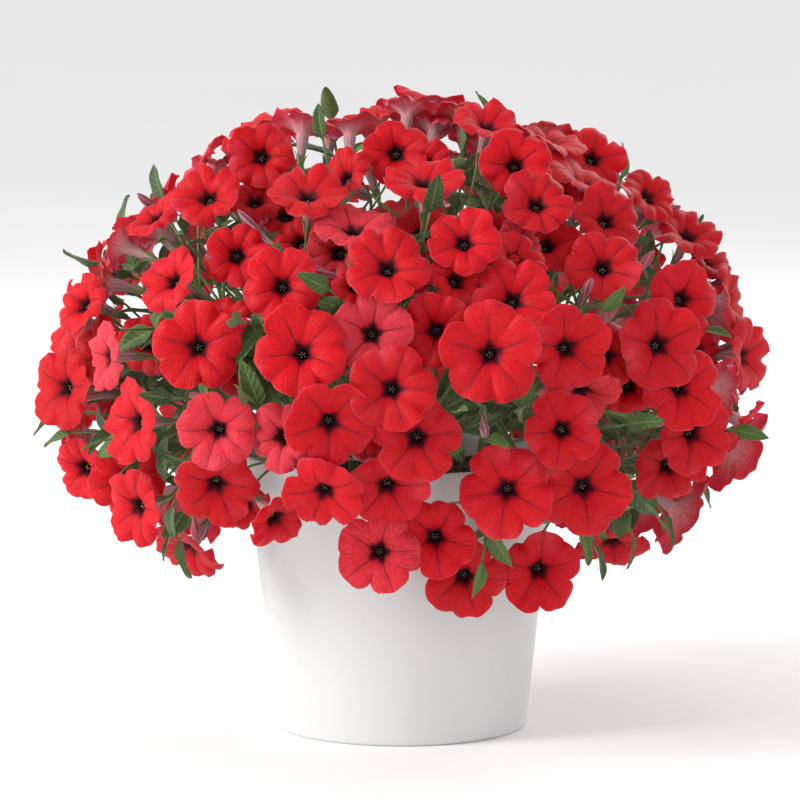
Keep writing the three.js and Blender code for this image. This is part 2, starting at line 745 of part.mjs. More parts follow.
// The points and faces of a skin through rings of points. Neighbouring rings may differ in how
// many points they have; an end ring of one point is a tip, and a longer one is closed flat.
// The last ring's flat end is the last thing in the list of faces.
function skin(rings) {
  const points = rings.flat();
  const faces = [];
  let start = 0;
  for (let row = 0; row + 1 < rings.length; row += 1) {
    const here = rings[row].length;
    const next = rings[row + 1].length;
    const a = (index) => start + (index % here);
    const b = (index) => start + here + (index % next);
    let i = 0;
    let j = 0;
    const rungs = (here > 1 ? here : 0) + (next > 1 ? next : 0);
    for (let rung = 0; rung < rungs; rung += 1) {
      const useHere = here > 1 && (next === 1 || (i + 1) / here <= (j + 1) / next);
      if (useHere) {
        faces.push([a(i), a(i + 1), b(j)]);
        i += 1;
      } else {
        faces.push([a(i), b(j + 1), b(j)]);
        j += 1;
      }
    }
    start += here;
  }
  const first = rings[0].length;
  for (let index = 1; index + 1 < first; index += 1) faces.push([0, index + 1, index]);
  const last = rings[rings.length - 1].length;
  for (let index = 1; index + 1 < last; index += 1) {
    faces.push([start, start + index, start + index + 1]);
  }
  return { points, faces };
}

function loft(rings) {
  const { points, faces } = skin(rings);
  return solidOf(points, faces);
}

function ring(centre, x, y, radius, count) {
  return Array.from({ length: count }, (_, index) => {
    const angle = (index * 2 * Math.PI) / count;
    return centre.clone().addScaledVector(x, radius * Math.cos(angle))
      .addScaledVector(y, radius * Math.sin(angle));
  });
}

function rod(points, radii, sides, reference) {
  const rings = points.map((point, index) => {
    const before = points[Math.max(0, index - 1)];
    const after = points[Math.min(points.length - 1, index + 1)];
    const axis = unit(after.clone().sub(before));
    const x = squared(reference, axis);
    return ring(point, x, cross(axis, x), radii[index], sides);
  });
  return loft(rings);
}

function safeReference(from, to) {
  const axis = unit(to.clone().sub(from));
  return Math.abs(axis.z) < 0.8 ? vector(0, 0, 1) : vector(1, 0.3, 0);
}

// Rim of a bloom: each lobe has a notch and two shoulders, and the shoulders wave. A bloom that
// others cover has one corner for each lobe.
function rimRing(bloom, swell, lift) {
  const rim = [];
  for (let lobe = 0; lobe < LOBES; lobe += 1) {
    for (const [turn, reach, wave] of bloom.covered ? COVERED_RIM : RIM) {
      const angle = THREE.MathUtils.degToRad(lobe * 72 + turn);
      const out = bloom.radius * reach + swell;
      const waved = wave * RIM_WAVE * Math.cos(lobe * 2.4 + bloom.wave);
      const height = bloom.radius * (reach * CUP_SLOPE + waved) + lift;
      rim.push(bloom.centre.clone().addScaledVector(bloom.x, out * Math.cos(angle))
        .addScaledVector(bloom.y, out * Math.sin(angle)).addScaledVector(bloom.facing, height));
    }
  }
  return rim;
}

// The three points where a stalk comes to its hub, that far from the hub's centre
function stalkEnd(reference, toTop, hub, reach, swell) {
  const x = squared(reference, toTop);
  const centre = hub.centre.clone().addScaledVector(toTop, reach);
  return ring(centre, x, cross(toTop, x), STALK_RADIUS + swell, 3);
}

// The rings of a bloom: the petals' face from the throat, their back, the tube and its stalk.
// With a swell, they bound the room that other pieces keep out of. A stalk that turns back
// sharply from the tube is a rod of its own, and the rings then end at the tube's foot.
function bloomRings(bloom, swell, reach) {
  const { centre, facing, x, y, foot, hub } = bloom;
  const throat = centre.clone().addScaledVector(facing, -THROAT_DEPTH + swell);
  const mouth = centre.clone().addScaledVector(facing, -TUBE_MOUTH_DEPTH - swell);
  const toBloom = unit(foot.clone().sub(hub.centre));
  const bend = facing.dot(toBloom);
  const footAxis = unit(facing.clone().add(toBloom));
  const rims = swell > 0 ? [rimRing(bloom, swell, swell), rimRing(bloom, swell, -swell)]
    : [rimRing(bloom, 0, 0)];
  const head = [[throat], ...rims, ring(mouth, x, y, TUBE_MOUTH + swell, LOBES)];
  const straight = bend > STRAIGHT;
  const tubeAxis = straight ? footAxis : facing;
  const tubeX = squared(x, tubeAxis);
  head.push(ring(foot, tubeX, cross(tubeAxis, tubeX), TUBE_FOOT + swell, 3));
  if (straight) head.push(stalkEnd(tubeX, toBloom, hub, reach, swell));
  return { rings: head, straight, start: foot.clone().addScaledVector(facing, 3) };
}

function stalkRod(start, hub, swell) {
  const radius = STALK_RADIUS + swell;
  return rod([start, hub.centre], [radius, radius], 3, safeReference(start, hub.centre));
}

function budRings(bud, swell, reach) {
  const axis = unit(bud.tip.clone().sub(bud.foot));
  const x = squared(safeReference(bud.foot, bud.tip), axis);
  const belly = ring(between(bud.foot, bud.tip, 0.72), x, cross(axis, x), BUD_RADIUS + swell, 4);
  const tip = [bud.tip.clone().addScaledVector(axis, swell)];
  const toBud = unit(bud.foot.clone().sub(bud.hub.centre));
  const straight = axis.dot(toBud) > STRAIGHT;
  const footAxis = straight ? unit(axis.clone().add(toBud)) : axis;
  const footX = squared(x, footAxis);
  const foot = ring(bud.foot, footX, cross(footAxis, footX), BUD_FOOT + swell, 3);
  const head = [tip, belly, foot];
  if (straight) head.push(stalkEnd(footX, toBud, bud.hub, reach, swell));
  return { rings: head, straight, start: bud.foot };
}

function topSolid({ rings, straight, start }, hub, swell) {
  if (straight) return loft(rings);
  return wasm.Manifold.union(loft(rings), stalkRod(start, hub, swell));
}

function hubFoot(hub, swell) {
  const x = squared(safeReference(hub.seat, hub.centre), hub.axis);
  const below = hub.centre.clone().addScaledVector(hub.axis, -HUB_HALF - swell);
  return ring(below, x, cross(hub.axis, x), HUB_RADIUS + swell, 3);
}

function hubKeep(hub, swell) {
  const above = hub.centre.clone().addScaledVector(hub.axis, HUB_REACH + swell);
  return loft([hubFoot(hub, swell), [above]]);
}

// The room round a hub in which its own stalks may run into each other
function hubRoom(hub) {
  const radius = HUB_REACH - 0.5;
  const low = hub.centre.clone().addScaledVector(hub.axis, -radius);
  const high = hub.centre.clone().addScaledVector(hub.axis, radius);
  return rod([low, high], [radius, radius], 8, safeReference(low, high));
}

function cornersOf({ vertProperties }) {
  return Array.from({ length: vertProperties.length / 3 }, (_, index) =>
    new THREE.Vector3().fromArray(vertProperties, index * 3));
}

// Points that round to the same key are the same point, so that skins can share them.
function spotKey(point, grain = 0.002) {
  return point.toArray().map((value) => Math.round(value / grain)).join(" ");
}

// Some faces of a closed skin, turned so that the skin's faces point out
function turnedOut({ points, faces }, kept) {
  const outward = signedVolume(points, faces) > 0;
  return { points, faces: outward ? kept : kept.map(([a, b, c]) => [a, c, b]) };
}

// One solid from open skins that share the points of their edges
function sew(skins) {
  const spots = new Map();
  const points = [];
  const faces = [];
  for (const own of skins) {
    const places = own.points.map((point) => {
      const key = spotKey(point);
      if (!spots.has(key)) {
        spots.set(key, points.length);
        points.push(point);
      }
      return spots.get(key);
    });
    faces.push(...own.faces.map((face) => face.map((corner) => places[corner])));
  }
  return solidOf(points, faces);
}

// A hub is the hull of its foot and of the ends of its stalks. Its skin and theirs are sewn
// together along those ends. Stalks too close together for that are not sewn.
function sewnSpray(hub, tops) {
  const ends = tops.map((top) => top.rings[top.rings.length - 1]);
  const spread = [...hubFoot(hub, 0), ...ends.flat()];
  const hull = wasm.Manifold.hull(spread.map((one) => one.toArray()));
  const mesh = hull.getMesh();
  const corners = cornersOf(mesh);
  const sides = Array.from({ length: mesh.triVerts.length / 3 }, (_, index) =>
    Array.from(mesh.triVerts.slice(index * 3, index * 3 + 3)));
  const doors = ends.map((end) => new Set(end.map((spot) => spotKey(spot))));
  const isDoor = (side) => doors.some((door) =>
    side.every((index) => door.has(spotKey(corners[index]))));
  const walls = sides.filter((side) => !isDoor(side));
  if (sides.length - walls.length !== ends.length) return null;
  return sew([{ points: corners, faces: walls }, ...tops.map((top) => {
    const whole = skin(top.rings);
    return turnedOut(whole, whole.faces.slice(0, -1));
  })]);
}

function boxesMeet(a, b) {
  const one = a.boundingBox();
  const two = b.boundingBox();
  return [0, 1, 2].every((axis) => one.min[axis] < two.max[axis] && two.min[axis] < one.max[axis]);
}

function meets(a, b) {
  return boxesMeet(a, b) && a.intersect(b).volume() > 1e-3;
}

function largestBody(solid) {
  return solid.decompose().reduce((best, body) => (body.volume() > best.volume() ? body : best));
}

// Pot and soil

const ACROSS = vector(1, 0, 0);
const AWAY = vector(0, 1, 0);

function levelRing(radius, height, count) {
  return ring(vector(0, 0, height), ACROSS, AWAY, radius, count);
}

function plug(angle, out, radius, bottom, top, sides) {
  const ends = [polar(angle, out, bottom), polar(angle, out, top)];
  return rod(ends, [radius, radius], sides, ACROSS);
}

function makePot() {
  const outside = loft([
    levelRing(POT_FOOT_RADIUS - FOOT_ROUND, 0, POT_SIDES),
    levelRing(potRadius(FOOT_ROUND), FOOT_ROUND, POT_SIDES),
    levelRing(potRadius(POT_HEIGHT - RIM_ROUND), POT_HEIGHT - RIM_ROUND, POT_SIDES),
    levelRing(POT_RIM_RADIUS - RIM_ROUND, POT_HEIGHT, POT_SIDES),
  ]);
  const inside = loft([
    levelRing(potRadius(POT_FLOOR) - POT_WALL, POT_FLOOR, POT_SIDES),
    levelRing(potRadius(POT_HEIGHT + 2) - POT_WALL, POT_HEIGHT + 2, POT_SIDES),
  ]);
  const drains = Array.from({ length: DRAIN_HOLES }, (_, index) =>
    plug((index * 2 * Math.PI) / DRAIN_HOLES, DRAIN_CIRCLE, DRAIN_RADIUS, -2, POT_FLOOR + 2, 6));
  return outside.subtract(inside).subtract(wasm.Manifold.union(drains));
}

function soilHeight(point) {
  return SOIL_TOP + SOIL_LUMP * Math.sin(point.x / 13) * Math.cos(point.y / 17);
}

function makeSoil() {
  const bottom = POT_FLOOR + GAP;
  const edge = SOIL_TOP - 2;
  const room = POT_WALL + GAP + 0.1;
  const rings = [
    levelRing(potRadius(bottom) - room, bottom, SOIL_SIDES),
    levelRing(potRadius(edge) - room, edge, SOIL_SIDES),
  ];
  for (const [radius, count] of [[84, SOIL_SIDES], [42, SOIL_SIDES / 2]]) {
    rings.push(levelRing(radius, 0, count).map((point) => point.setZ(soilHeight(point))));
  }
  rings.push([vector(0, 0, SOIL_TOP)]);
  const holes = Array.from({ length: STEMS }, (_, stem) => {
    const [out, height] = stem % 2 === 0 ? INNER_TRUNK[0] : OUTER_TRUNK[0];
    return plug(stemAngle(stem), out, STEM_HOLE_RADIUS, height - GAP, SOIL_TOP + 9, 5);
  });
  return loft(rings).subtract(wasm.Manifold.union(holes));
}

// Sprays: blooms and buds joined at their hub, and cut clear of the sprays before them
function makeSprays(hubs, blooms, buds) {
  const tops = [
    ...blooms.map((bloom) => ({ hub: bloom.hub, shape: (...how) => bloomRings(bloom, ...how) })),
    ...buds.map((bud) => ({ hub: bud.hub, shape: (...how) => budRings(bud, ...how) })),
  ];
  for (const top of tops) {
    top.solid = topSolid(top.shape(0, 0), top.hub, 0);
    top.keep = topSolid(top.shape(KEEP_CLEAR, 0), top.hub, KEEP_CLEAR);
    top.cut = false;
  }
  tops.forEach((top, index) => {
    for (const other of tops.slice(0, index)) {
      if (other.hub !== top.hub && meets(top.solid, other.keep)) {
        top.solid = largestBody(top.solid.subtract(other.keep));
        top.cut = true;
      }
    }
  });
  const sprays = hubs.map((hub) => {
    const sewn = [];
    const joined = [];
    for (const top of tops.filter((one) => one.hub === hub)) {
      const shape = top.shape(0, HUB_REACH);
      const free = shape.straight && !top.cut
        && !sewn.some((other) => meets(top.solid.subtract(hubRoom(hub)), other.solid));
      if (free && sewnSpray(hub, [...sewn.map((one) => one.shape), shape])) {
        sewn.push({ shape, solid: top.solid });
      } else {
        joined.push(top.solid);
      }
    }
    const core = sewn.length > 0 ? sewnSpray(hub, sewn.map((one) => one.shape)) : hubKeep(hub, 0);
    return largestBody(wasm.Manifold.union([core, ...joined]));
  });
  const keeps = [...tops.map((top) => top.keep), ...hubs.map((hub) => hubKeep(hub, KEEP_CLEAR))];
  return { sprays, keeps };
}

// Leafy stems

// The rings of a leaf from its foot to its tip: two edges and a keel under the middle
function leafRings(leaf, swell) {
  const rings = LEAF_STATIONS.map(([share, half]) => {
    const keel = leafPoint(leaf, share, 0).addScaledVector(leaf.up, -LEAF_THICK - swell);
    const edges = [-1, 1].map((side) => leafPoint(leaf, share, side * half)
      .addScaledVector(leaf.side, side * swell).addScaledVector(leaf.up, swell));
    return [...edges, keel];
  });
  return [...rings, [leafPoint(leaf, 1, 0).addScaledVector(leaf.along, swell)]];
}

function leafSolid(leaf, swell) {
  return loft(leafRings(leaf, swell));
}

function shootKeep(shoot, swell) {
  const radii = [SHOOT_RADIUS + swell, SHOOT_RADIUS + swell];
  return rod([shoot.seat, shoot.tip], radii, 3, safeReference(shoot.seat, shoot.tip));
}

// A square shoot with its leaves sewn on: a leaf starts at a door between two of the shoot's
// rings, and the last leaf is the shoot's own end.
function shootSolid(shoot, leaves) {
  const { seat, tip, axis, side, up } = shoot;
  const square = (point, radius) => [[-1, 1], [1, 1], [1, -1], [-1, -1]].map(([across, over]) =>
    point.clone().addScaledVector(side, across * radius).addScaledVector(up, over * radius));
  const rings = [square(seat, SHOOT_RADIUS)];
  const doors = [];
  const pairs = LEAF_PAIRS.map(([share], pair) => ({ share, pair }));
  pairs.sort((one, other) => one.share - other.share);
  pairs.forEach(({ share, pair }) => {
    const own = leaves.filter((leaf) => leaf.pair === pair);
    if (own.length === 0) return;
    const lower = square(between(seat, tip, share).addScaledVector(axis, -DOOR_HALF), SHOOT_NECK);
    const upper = square(between(seat, tip, share).addScaledVector(axis, DOOR_HALF), SHOOT_NECK);
    rings.push(lower, upper);
    for (const leaf of own) {
      const reach = (corner) => lower[corner].clone().add(lower[(corner + 1) % 4])
        .sub(seat).sub(seat).dot(squared(leaf.along, axis));
      const corner = [0, 1, 2, 3].reduce((best, one) => (reach(one) > reach(best) ? one : best));
      const next = (corner + 1) % 4;
      doors.push({ leaf, spots: [lower[corner], lower[next], upper[corner], upper[next]] });
    }
  });
  rings.push(square(tip, SHOOT_NECK));
  const last = leaves.find((leaf) => leaf.pair === null);
  if (last) rings.push(...leafRings(last, 0).slice(1));
  const body = skin(rings);
  const isDoor = (face) => doors.some(({ spots }) =>
    face.every((corner) => spots.includes(body.points[corner])));
  const skins = [turnedOut(body, body.faces.filter((face) => !isDoor(face)))];
  for (const { leaf, spots } of doors) {
    const middle = between(between(spots[0], spots[1], 0.5), between(spots[2], spots[3], 0.5), 0.5);
    const angle = (point) => {
      const from = point.clone().sub(middle);
      return Math.atan2(from.dot(leaf.up), from.dot(leaf.side));
    };
    const door = [...spots].sort((one, other) => angle(other) - angle(one));
    const blade = skin([door, ...leafRings(leaf, 0).slice(1)]);
    skins.push(turnedOut(blade, blade.faces.slice(0, -2)));
  }
  return sew(skins);
}

function stemSolids(stem, hubs) {
  const aside = vector(-Math.sin(stemAngle(stem)), Math.cos(stemAngle(stem)), 0);
  return stemPaths(stem, hubs).map(({ points, trunk }) => {
    const thick = trunk ? STEM_RADIUS : BRANCH_RADIUS;
    const radii = points.map((_, index) => thick * (1 - (STEM_TAPER * index) / points.length));
    return rod(points, radii, trunk ? 4 : 3, aside);
  });
}

// A shoot or leaf that would meet a spray or another shoot is left out.
function makeStems(hubs, shoots, keeps) {
  const stems = Array.from({ length: STEMS }, (_, stem) =>
    ({ stem, solids: stemSolids(stem, hubs) }));
  const taken = stems.flatMap(({ stem, solids }) =>
    solids.map((solid) => ({ stem, keep: solid })));
  const fits = (keep, ownStem = null) => !keeps.some((other) => meets(keep, other))
    && !taken.some((other) =>
      (ownStem === null || other.stem !== ownStem) && meets(keep, other.keep));
  for (const shoot of shoots) {
    const keep = shootKeep(shoot, KEEP_CLEAR);
    if (!fits(keep, shoot.stem)) continue;
    const room = shoot.leaves.map((leaf) => ({ leaf, keep: leafSolid(leaf, KEEP_CLEAR) }))
      .filter((one) => fits(one.keep));
    taken.push({ keep }, ...room.map((one) => ({ keep: one.keep })));
    stems[shoot.stem].solids.push(shootSolid(shoot, room.map((one) => one.leaf)));
  }
  return stems.map(({ solids }) => largestBody(wasm.Manifold.union(solids)));
}

// A mesh is sound where none of its faces is a sliver and each edge joins only two faces.
function isSound(mesh) {
  const corners = cornersOf(mesh);
  const edges = new Set();
  for (let start = 0; start < mesh.triVerts.length; start += 3) {
    const [a, b, c] = [0, 1, 2].map((offset) => corners[mesh.triVerts[start + offset]]);
    const sides = [[a, b], [b, c], [c, a]];
    const longest = Math.max(...sides.map(([from, to]) => from.distanceTo(to)));
    const twiceArea = cross(b.clone().sub(a), c.clone().sub(a)).length();
    if (twiceArea < SLIVER * longest) return false;
    for (const [from, to] of sides) {
      const edge = `${spotKey(from, FINEST)} ${spotKey(to, FINEST)}`;
      if (edges.has(edge)) return false;
      edges.add(edge);
    }
  }
  return true;
}

// Points that lie closer than a small distance are merged, by the first that gives a sound mesh.
function soundMesh(solid) {
  const meshes = MERGES.map((distance) => solid.asOriginal().simplify(distance).getMesh());
  return meshes.find(isSound) ?? meshes[0];
}

function meshOf(solid, name, material) {
  const { vertProperties, triVerts } = soundMesh(solid);
  const geometry = new THREE.BufferGeometry();
  geometry.setAttribute("position", new THREE.BufferAttribute(vertProperties, 3));
  geometry.setIndex(new THREE.BufferAttribute(triVerts, 1));
  geometry.computeVertexNormals();
  const mesh = new THREE.Mesh(geometry, material);
  mesh.name = name;
  return mesh;
}

function numbered(name, index) {
  return `${name}_${String(index + 1).padStart(2, "0")}`;
}

const hubs = makeHubs();
const blooms = placeBlooms(hubs);
const buds = placeBuds(hubs, blooms);
const shoots = placeShoots(hubs, blooms, buds);
const { sprays, keeps } = makeSprays(hubs, blooms, buds);
const stems = makeStems(hubs, shoots, keeps);

const petunia = new THREE.Group();
petunia.add(meshOf(makePot(), "pot", WHITE));
petunia.add(meshOf(makeSoil(), "soil", BROWN));
stems.forEach((solid, index) => {
  petunia.add(meshOf(solid, numbered("leafy_stem", index), GREEN));
});
sprays.forEach((solid, index) => {
  petunia.add(meshOf(solid, numbered("bloom_spray", index), RED));
});

export default petunia;
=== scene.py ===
# %% [markdown]
# A potted petunia, dressed in Blender
# The solids of this plant come in as a fixed frame: a pot, its soil, twelve leafy stems and
# forty-three sprays of blooms. This script puts a finer piece in the place of each of them.
# All lengths in the listing are millimetres, and they turn into Blender's metres in one place.

# %% Load the frame
import math
import bpy
import numpy as np
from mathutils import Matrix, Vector


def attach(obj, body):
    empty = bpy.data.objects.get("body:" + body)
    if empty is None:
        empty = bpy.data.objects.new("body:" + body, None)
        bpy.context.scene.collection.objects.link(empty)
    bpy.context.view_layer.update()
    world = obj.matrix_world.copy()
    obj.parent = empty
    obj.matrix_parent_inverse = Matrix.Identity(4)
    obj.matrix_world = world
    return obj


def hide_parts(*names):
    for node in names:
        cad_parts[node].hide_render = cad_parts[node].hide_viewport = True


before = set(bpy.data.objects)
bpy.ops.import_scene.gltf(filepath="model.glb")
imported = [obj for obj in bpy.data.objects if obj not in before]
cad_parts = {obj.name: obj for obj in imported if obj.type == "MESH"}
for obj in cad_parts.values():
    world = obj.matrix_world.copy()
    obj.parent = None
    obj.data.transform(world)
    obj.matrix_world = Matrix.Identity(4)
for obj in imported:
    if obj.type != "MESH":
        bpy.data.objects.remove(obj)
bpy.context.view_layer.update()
MM = 0.001

# %% [markdown]
# Where the camera stands
# A long lens from four metres away keeps the mound's sides nearly parallel, as a portrait lens
# does. One pixel of the picture is 0.8 mm at the pot's axis, so a bloom can be placed by the
# pixel where it is seen: the sight line through that pixel is followed to the mound.

# %% Camera
MM_PER_PIXEL = 0.8
PICTURE = 800
EYE_DISTANCE = 4000
SENSOR = 36
FARTHEST_SEEN = 40
EYE_RISE = math.radians(7.5)
AIM = np.array([-0.8, 0, 262.0])
EYE_BACK = np.array([0, -math.cos(EYE_RISE), math.sin(EYE_RISE)])
EYE_UP = np.array([0, math.sin(EYE_RISE), math.cos(EYE_RISE)])
EYE = AIM + EYE_BACK * EYE_DISTANCE

scene = bpy.context.scene
camera = bpy.data.objects.new("camera", bpy.data.cameras.new("camera"))
scene.collection.objects.link(camera)
camera.data.sensor_width = SENSOR
camera.data.lens = SENSOR * EYE_DISTANCE / (PICTURE * MM_PER_PIXEL)
camera.data.clip_end = FARTHEST_SEEN
camera.location = Vector(EYE * MM)
camera.rotation_mode = "QUATERNION"
camera.rotation_quaternion = Vector(-EYE_BACK).to_track_quat("-Z", "Y")
scene.camera = camera
print("lens:", round(camera.data.lens), "mm")

# %% [markdown]
# The list of blooms
# A real mound has no pattern that a rule could give, so each bloom that faces the viewer is
# listed, the topmost first. The others could be listed too, but nobody sees them from here, so a
# rule with repeatable draws fills the sides and the back. The draws are whole-number sums, which
# give the same plant on every computer.

# %% Listed blooms, buds and shoots
# Pixel across and down, width in pixels, turn to the right and upwards in degrees, layers down
FRONT_BLOOMS = [
    (490, 354, 94, 0, 10, 0), (198, 347, 84, -5, 10, 0), (583, 487, 90, 6, -2, 0),
    (464, 577, 78, 3, -12, 0), (302, 353, 86, -4, 22, 0), (392, 389, 80, 0, 10, 0),
    (388, 269, 80, 3, 34, 0), (282, 287, 74, -4, 14, 0), (329, 422, 82, 5, -8, 0),
    (544, 576, 80, 14, -8, 0), (379, 552, 78, -3, 4, 0), (658, 345, 86, 20, 12, 0),
    (66, 388, 80, -42, 6, 0), (137, 422, 82, -55, 4, 0), (218, 430, 74, -14, -4, 0),
    (138, 507, 76, -44, -6, 0), (417, 438, 82, 2, -6, 0), (680, 388, 82, 26, 8, 0),
    (748, 356, 76, 62, 2, 0), (261, 157, 64, -6, 18, 0), (396, 153, 62, -2, 20, 0),
    (515, 166, 70, 6, 22, 0), (594, 157, 68, 22, 34, 0), (208, 198, 68, -18, 42, 0),
    (308, 197, 76, 4, 62, 0), (424, 184, 76, 2, 66, 0), (173, 281, 68, -48, 28, 0),
    (464, 243, 68, 2, 30, 0), (537, 205, 68, 8, 38, 0), (606, 221, 68, 24, 34, 0),
    (648, 197, 62, 46, 34, 0), (603, 268, 70, 6, 28, 0), (682, 299, 74, 30, 12, 0),
    (690, 235, 66, 34, 52, 0), (566, 348, 80, 18, 6, 0), (562, 430, 72, 6, 6, 0),
    (109, 357, 66, -64, 2, 0), (216, 484, 80, 0, -28, 0), (324, 491, 76, -10, -32, 0),
    (507, 490, 88, -5, -2, 1), (372, 334, 76, 3, 12, 1), (387, 486, 78, 0, -24, 1),
    (435, 538, 76, -2, -4, 1), (237, 256, 62, 4, 16, 1), (436, 331, 70, -3, 6, 1),
    (513, 301, 78, 5, 28, 1), (692, 434, 76, 26, -4, 1), (283, 437, 66, -24, 0, 1),
    (128, 480, 76, -14, 2, 1), (52, 476, 62, -36, -6, 0), (84, 305, 62, -50, 26, 0),
    (753, 292, 66, 78, 12, 0), (303, 130, 62, 172, 62, 0), (408, 107, 62, 168, 58, 0),
    (548, 130, 58, 178, 60, 0), (462, 106, 58, -170, 62, 0), (475, 131, 58, 4, 46, 1),
    (425, 164, 52, -8, 24, 2), (345, 178, 60, -46, 34, 1), (354, 231, 74, 6, 62, 1),
    (300, 242, 54, -24, 40, 2), (456, 281, 64, 28, 26, 2), (231, 358, 70, 12, 4, 2),
    (156, 219, 58, -58, 48, 0), (123, 246, 54, -118, 18, 0), (350, 130, 54, 176, 62, 1),
    (435, 112, 54, 176, 64, 1), (494, 122, 52, 160, 56, 1), (515, 259, 62, 36, 40, 1),
    (546, 246, 68, 6, 44, 2), (607, 355, 62, 26, 4, 2), (581, 392, 74, 14, -46, 2),
    (668, 466, 72, 16, -18, 2), (275, 519, 60, 36, -28, 0), (244, 506, 54, 8, -38, 1),
    (500, 606, 54, 30, -55, 0), (729, 254, 58, 60, 44, 0), (727, 312, 62, 126, -4, 1),
    (745, 424, 60, 74, -34, 0), (720, 388, 60, 118, -10, 1), (762, 374, 58, 86, 2, 1),
    (64, 296, 56, -80, 22, 1), (46, 345, 60, -70, 2, 1), (52, 446, 62, -106, -20, 1),
    (76, 518, 56, -62, -48, 0), (40, 394, 58, -88, 2, 2), (108, 283, 50, -100, 12, 1),
    (150, 345, 60, -20, 2, 2), (255, 202, 56, -10, 50, 2), (212, 170, 52, 150, 50, 1),
    (136, 216, 50, -110, 48, 2), (339, 253, 60, -8, 18, 2), (285, 216, 56, 4, 42, 3),
    (420, 236, 58, -4, 38, 3), (505, 232, 56, 4, 44, 3), (592, 184, 52, 18, 58, 3),
    (632, 176, 52, 58, 48, 2), (628, 386, 56, 6, 2, 3), (702, 350, 56, 40, 4, 3),
    (362, 432, 56, 2, 2, 3),
]
# Furled buds: pixel of the tip, pixel of the base
FRONT_BUDS = [
    (237, 209, 282, 253), (104, 255, 118, 280), (44, 322, 85, 343), (28, 462, 60, 445),
    (90, 545, 111, 515), (195, 540, 195, 510), (298, 265, 362, 285), (206, 255, 232, 280),
    (432, 482, 428, 450), (485, 438, 483, 408), (398, 597, 398, 566), (410, 145, 408, 172),
    (488, 155, 493, 190), (556, 130, 558, 157), (697, 195, 672, 205), (655, 250, 625, 290),
    (592, 280, 578, 308), (662, 425, 628, 416), (764, 420, 728, 436), (742, 275, 710, 285),
]
# Leafy shoots between the blooms, by the pixel of their tip
FRONT_SHOOTS = [
    (455, 412), (522, 412), (498, 442), (602, 312), (625, 425), (612, 468), (652, 512),
    (640, 540), (580, 528), (232, 330), (250, 398), (172, 398), (243, 322), (392, 207),
    (430, 212), (330, 290), (72, 432), (172, 506), (732, 430), (300, 178), (482, 560), (323, 140),
    (560, 262), (716, 262), (700, 330), (120, 330), (606, 180), (545, 320), (345, 300),
    (105, 440), (668, 492), (268, 330),
]
print("listed:", len(FRONT_BLOOMS), "blooms,", len(FRONT_BUDS), "buds")

# %% Sizes that the placing rule works with
POT_FOOT_RADIUS, POT_RIM_RADIUS, POT_HEIGHT, SOIL_TOP = 101, 124, 220, 203
MOUND_LEVEL, MOUND_RADIUS, MOUND_CROWN, MOUND_SKIRT = 270, 283, 230, 160
CURTAIN_RADIUS = 160
CUP_SLOPE = 0.26
TUBE_LENGTH, TUBE_MOUTH = 31, 5.4
LAYER, SURFACE_INSET, SINK_STEP, SINK_STEPS, RISE_STEPS = 12, 8, 3, 17, 6
BUD_LENGTH, BUD_LONGEST, BUD_RADIUS, BUD_INSET, BUD_TIP_INSET = 30, 52, 3.4, 24, -2
BUD_SINK_STEP, BUD_SINK_STEPS, BUD_RISES, BUD_DEEPER, BUD_LONGER = 4, 10, (-0.7, 0.95), 2, 6
POT_CLEAR, PETAL_SPARE, PETAL_CLEAR, STALK_SPARE, STALK_CLEAR = 5, 1.5, 2.4, 3.5, 4
STALKS_APART, BLOOM_REACH, LEAF_SPARE, LEAF_CLEAR, LEAF_REACH = 7, 190, 2.5, 2.6, 110
STALK_RADIUS, TUBE_ROOM, BUD_ROOM, STALK_ROOM, HIDDEN = 1.05, 3, 2.6, 3, 0.02
SEED, RULE_BLOOMS, RULE_SPACING, CROWN_STEEP, CROWN_HIDDEN = 20251, 330, 41, 0.78, 0.32
BLOOM_SIZES, MIDDLE_RING, POT_FAULT, PETAL_FAULT, STALK_FAULT = (1, 0.88), 0.55, 5, 2, 3
RULE_TOP, RULE_DROP, RULE_INSETS, RULE_RADII = 0.985, 1.8, (2, 14), (28, 36)
RULE_BUDS, RULE_SHOOTS, SHOOT_STRIDE, SHOOT_TRIES, SHOOT_SIDE = 40, 170, 61, 8, 0.25
SHOOT_SHORTEST, SHOOT_INSETS, SHOOT_LIFT, SEAT_ABOVE_POT, HUB_ROOM = 24, (8, 10), 60, 12, 16
SHOOT_CLEAR, SHOOTS_MOST, FEWEST_LEAVES, SHOOT_SHARES = 6.5, 110, 3, (1, 0.86, 0.72)
SHOOT_TOP, SHOOT_DROP, SHOOT_TURN, PAIR_TILT, LAST_TILT = 0.97, 1.72, 0.7, (0.75, 1.2), (-0.5, 0.3)
INNER_INSETS, INNER_TRIES, INNER_SHOOTS, INNER_TOP, INNER_DROP = (22, 80), 260, 50, 0.98, 1.7
LEAF_LENGTHS, LEAF_WIDTH, LEAF_DROOP, LAST_LEAF = (30, 44), 0.44, 0.22, 0.8
LEAF_PAIRS = ((0.72, 1), (0.45, 1.1))
GOLDEN_ANGLE = math.pi * (3 - math.sqrt(5))
GOLDEN_SHARE = 0.618034
STEMS = 12
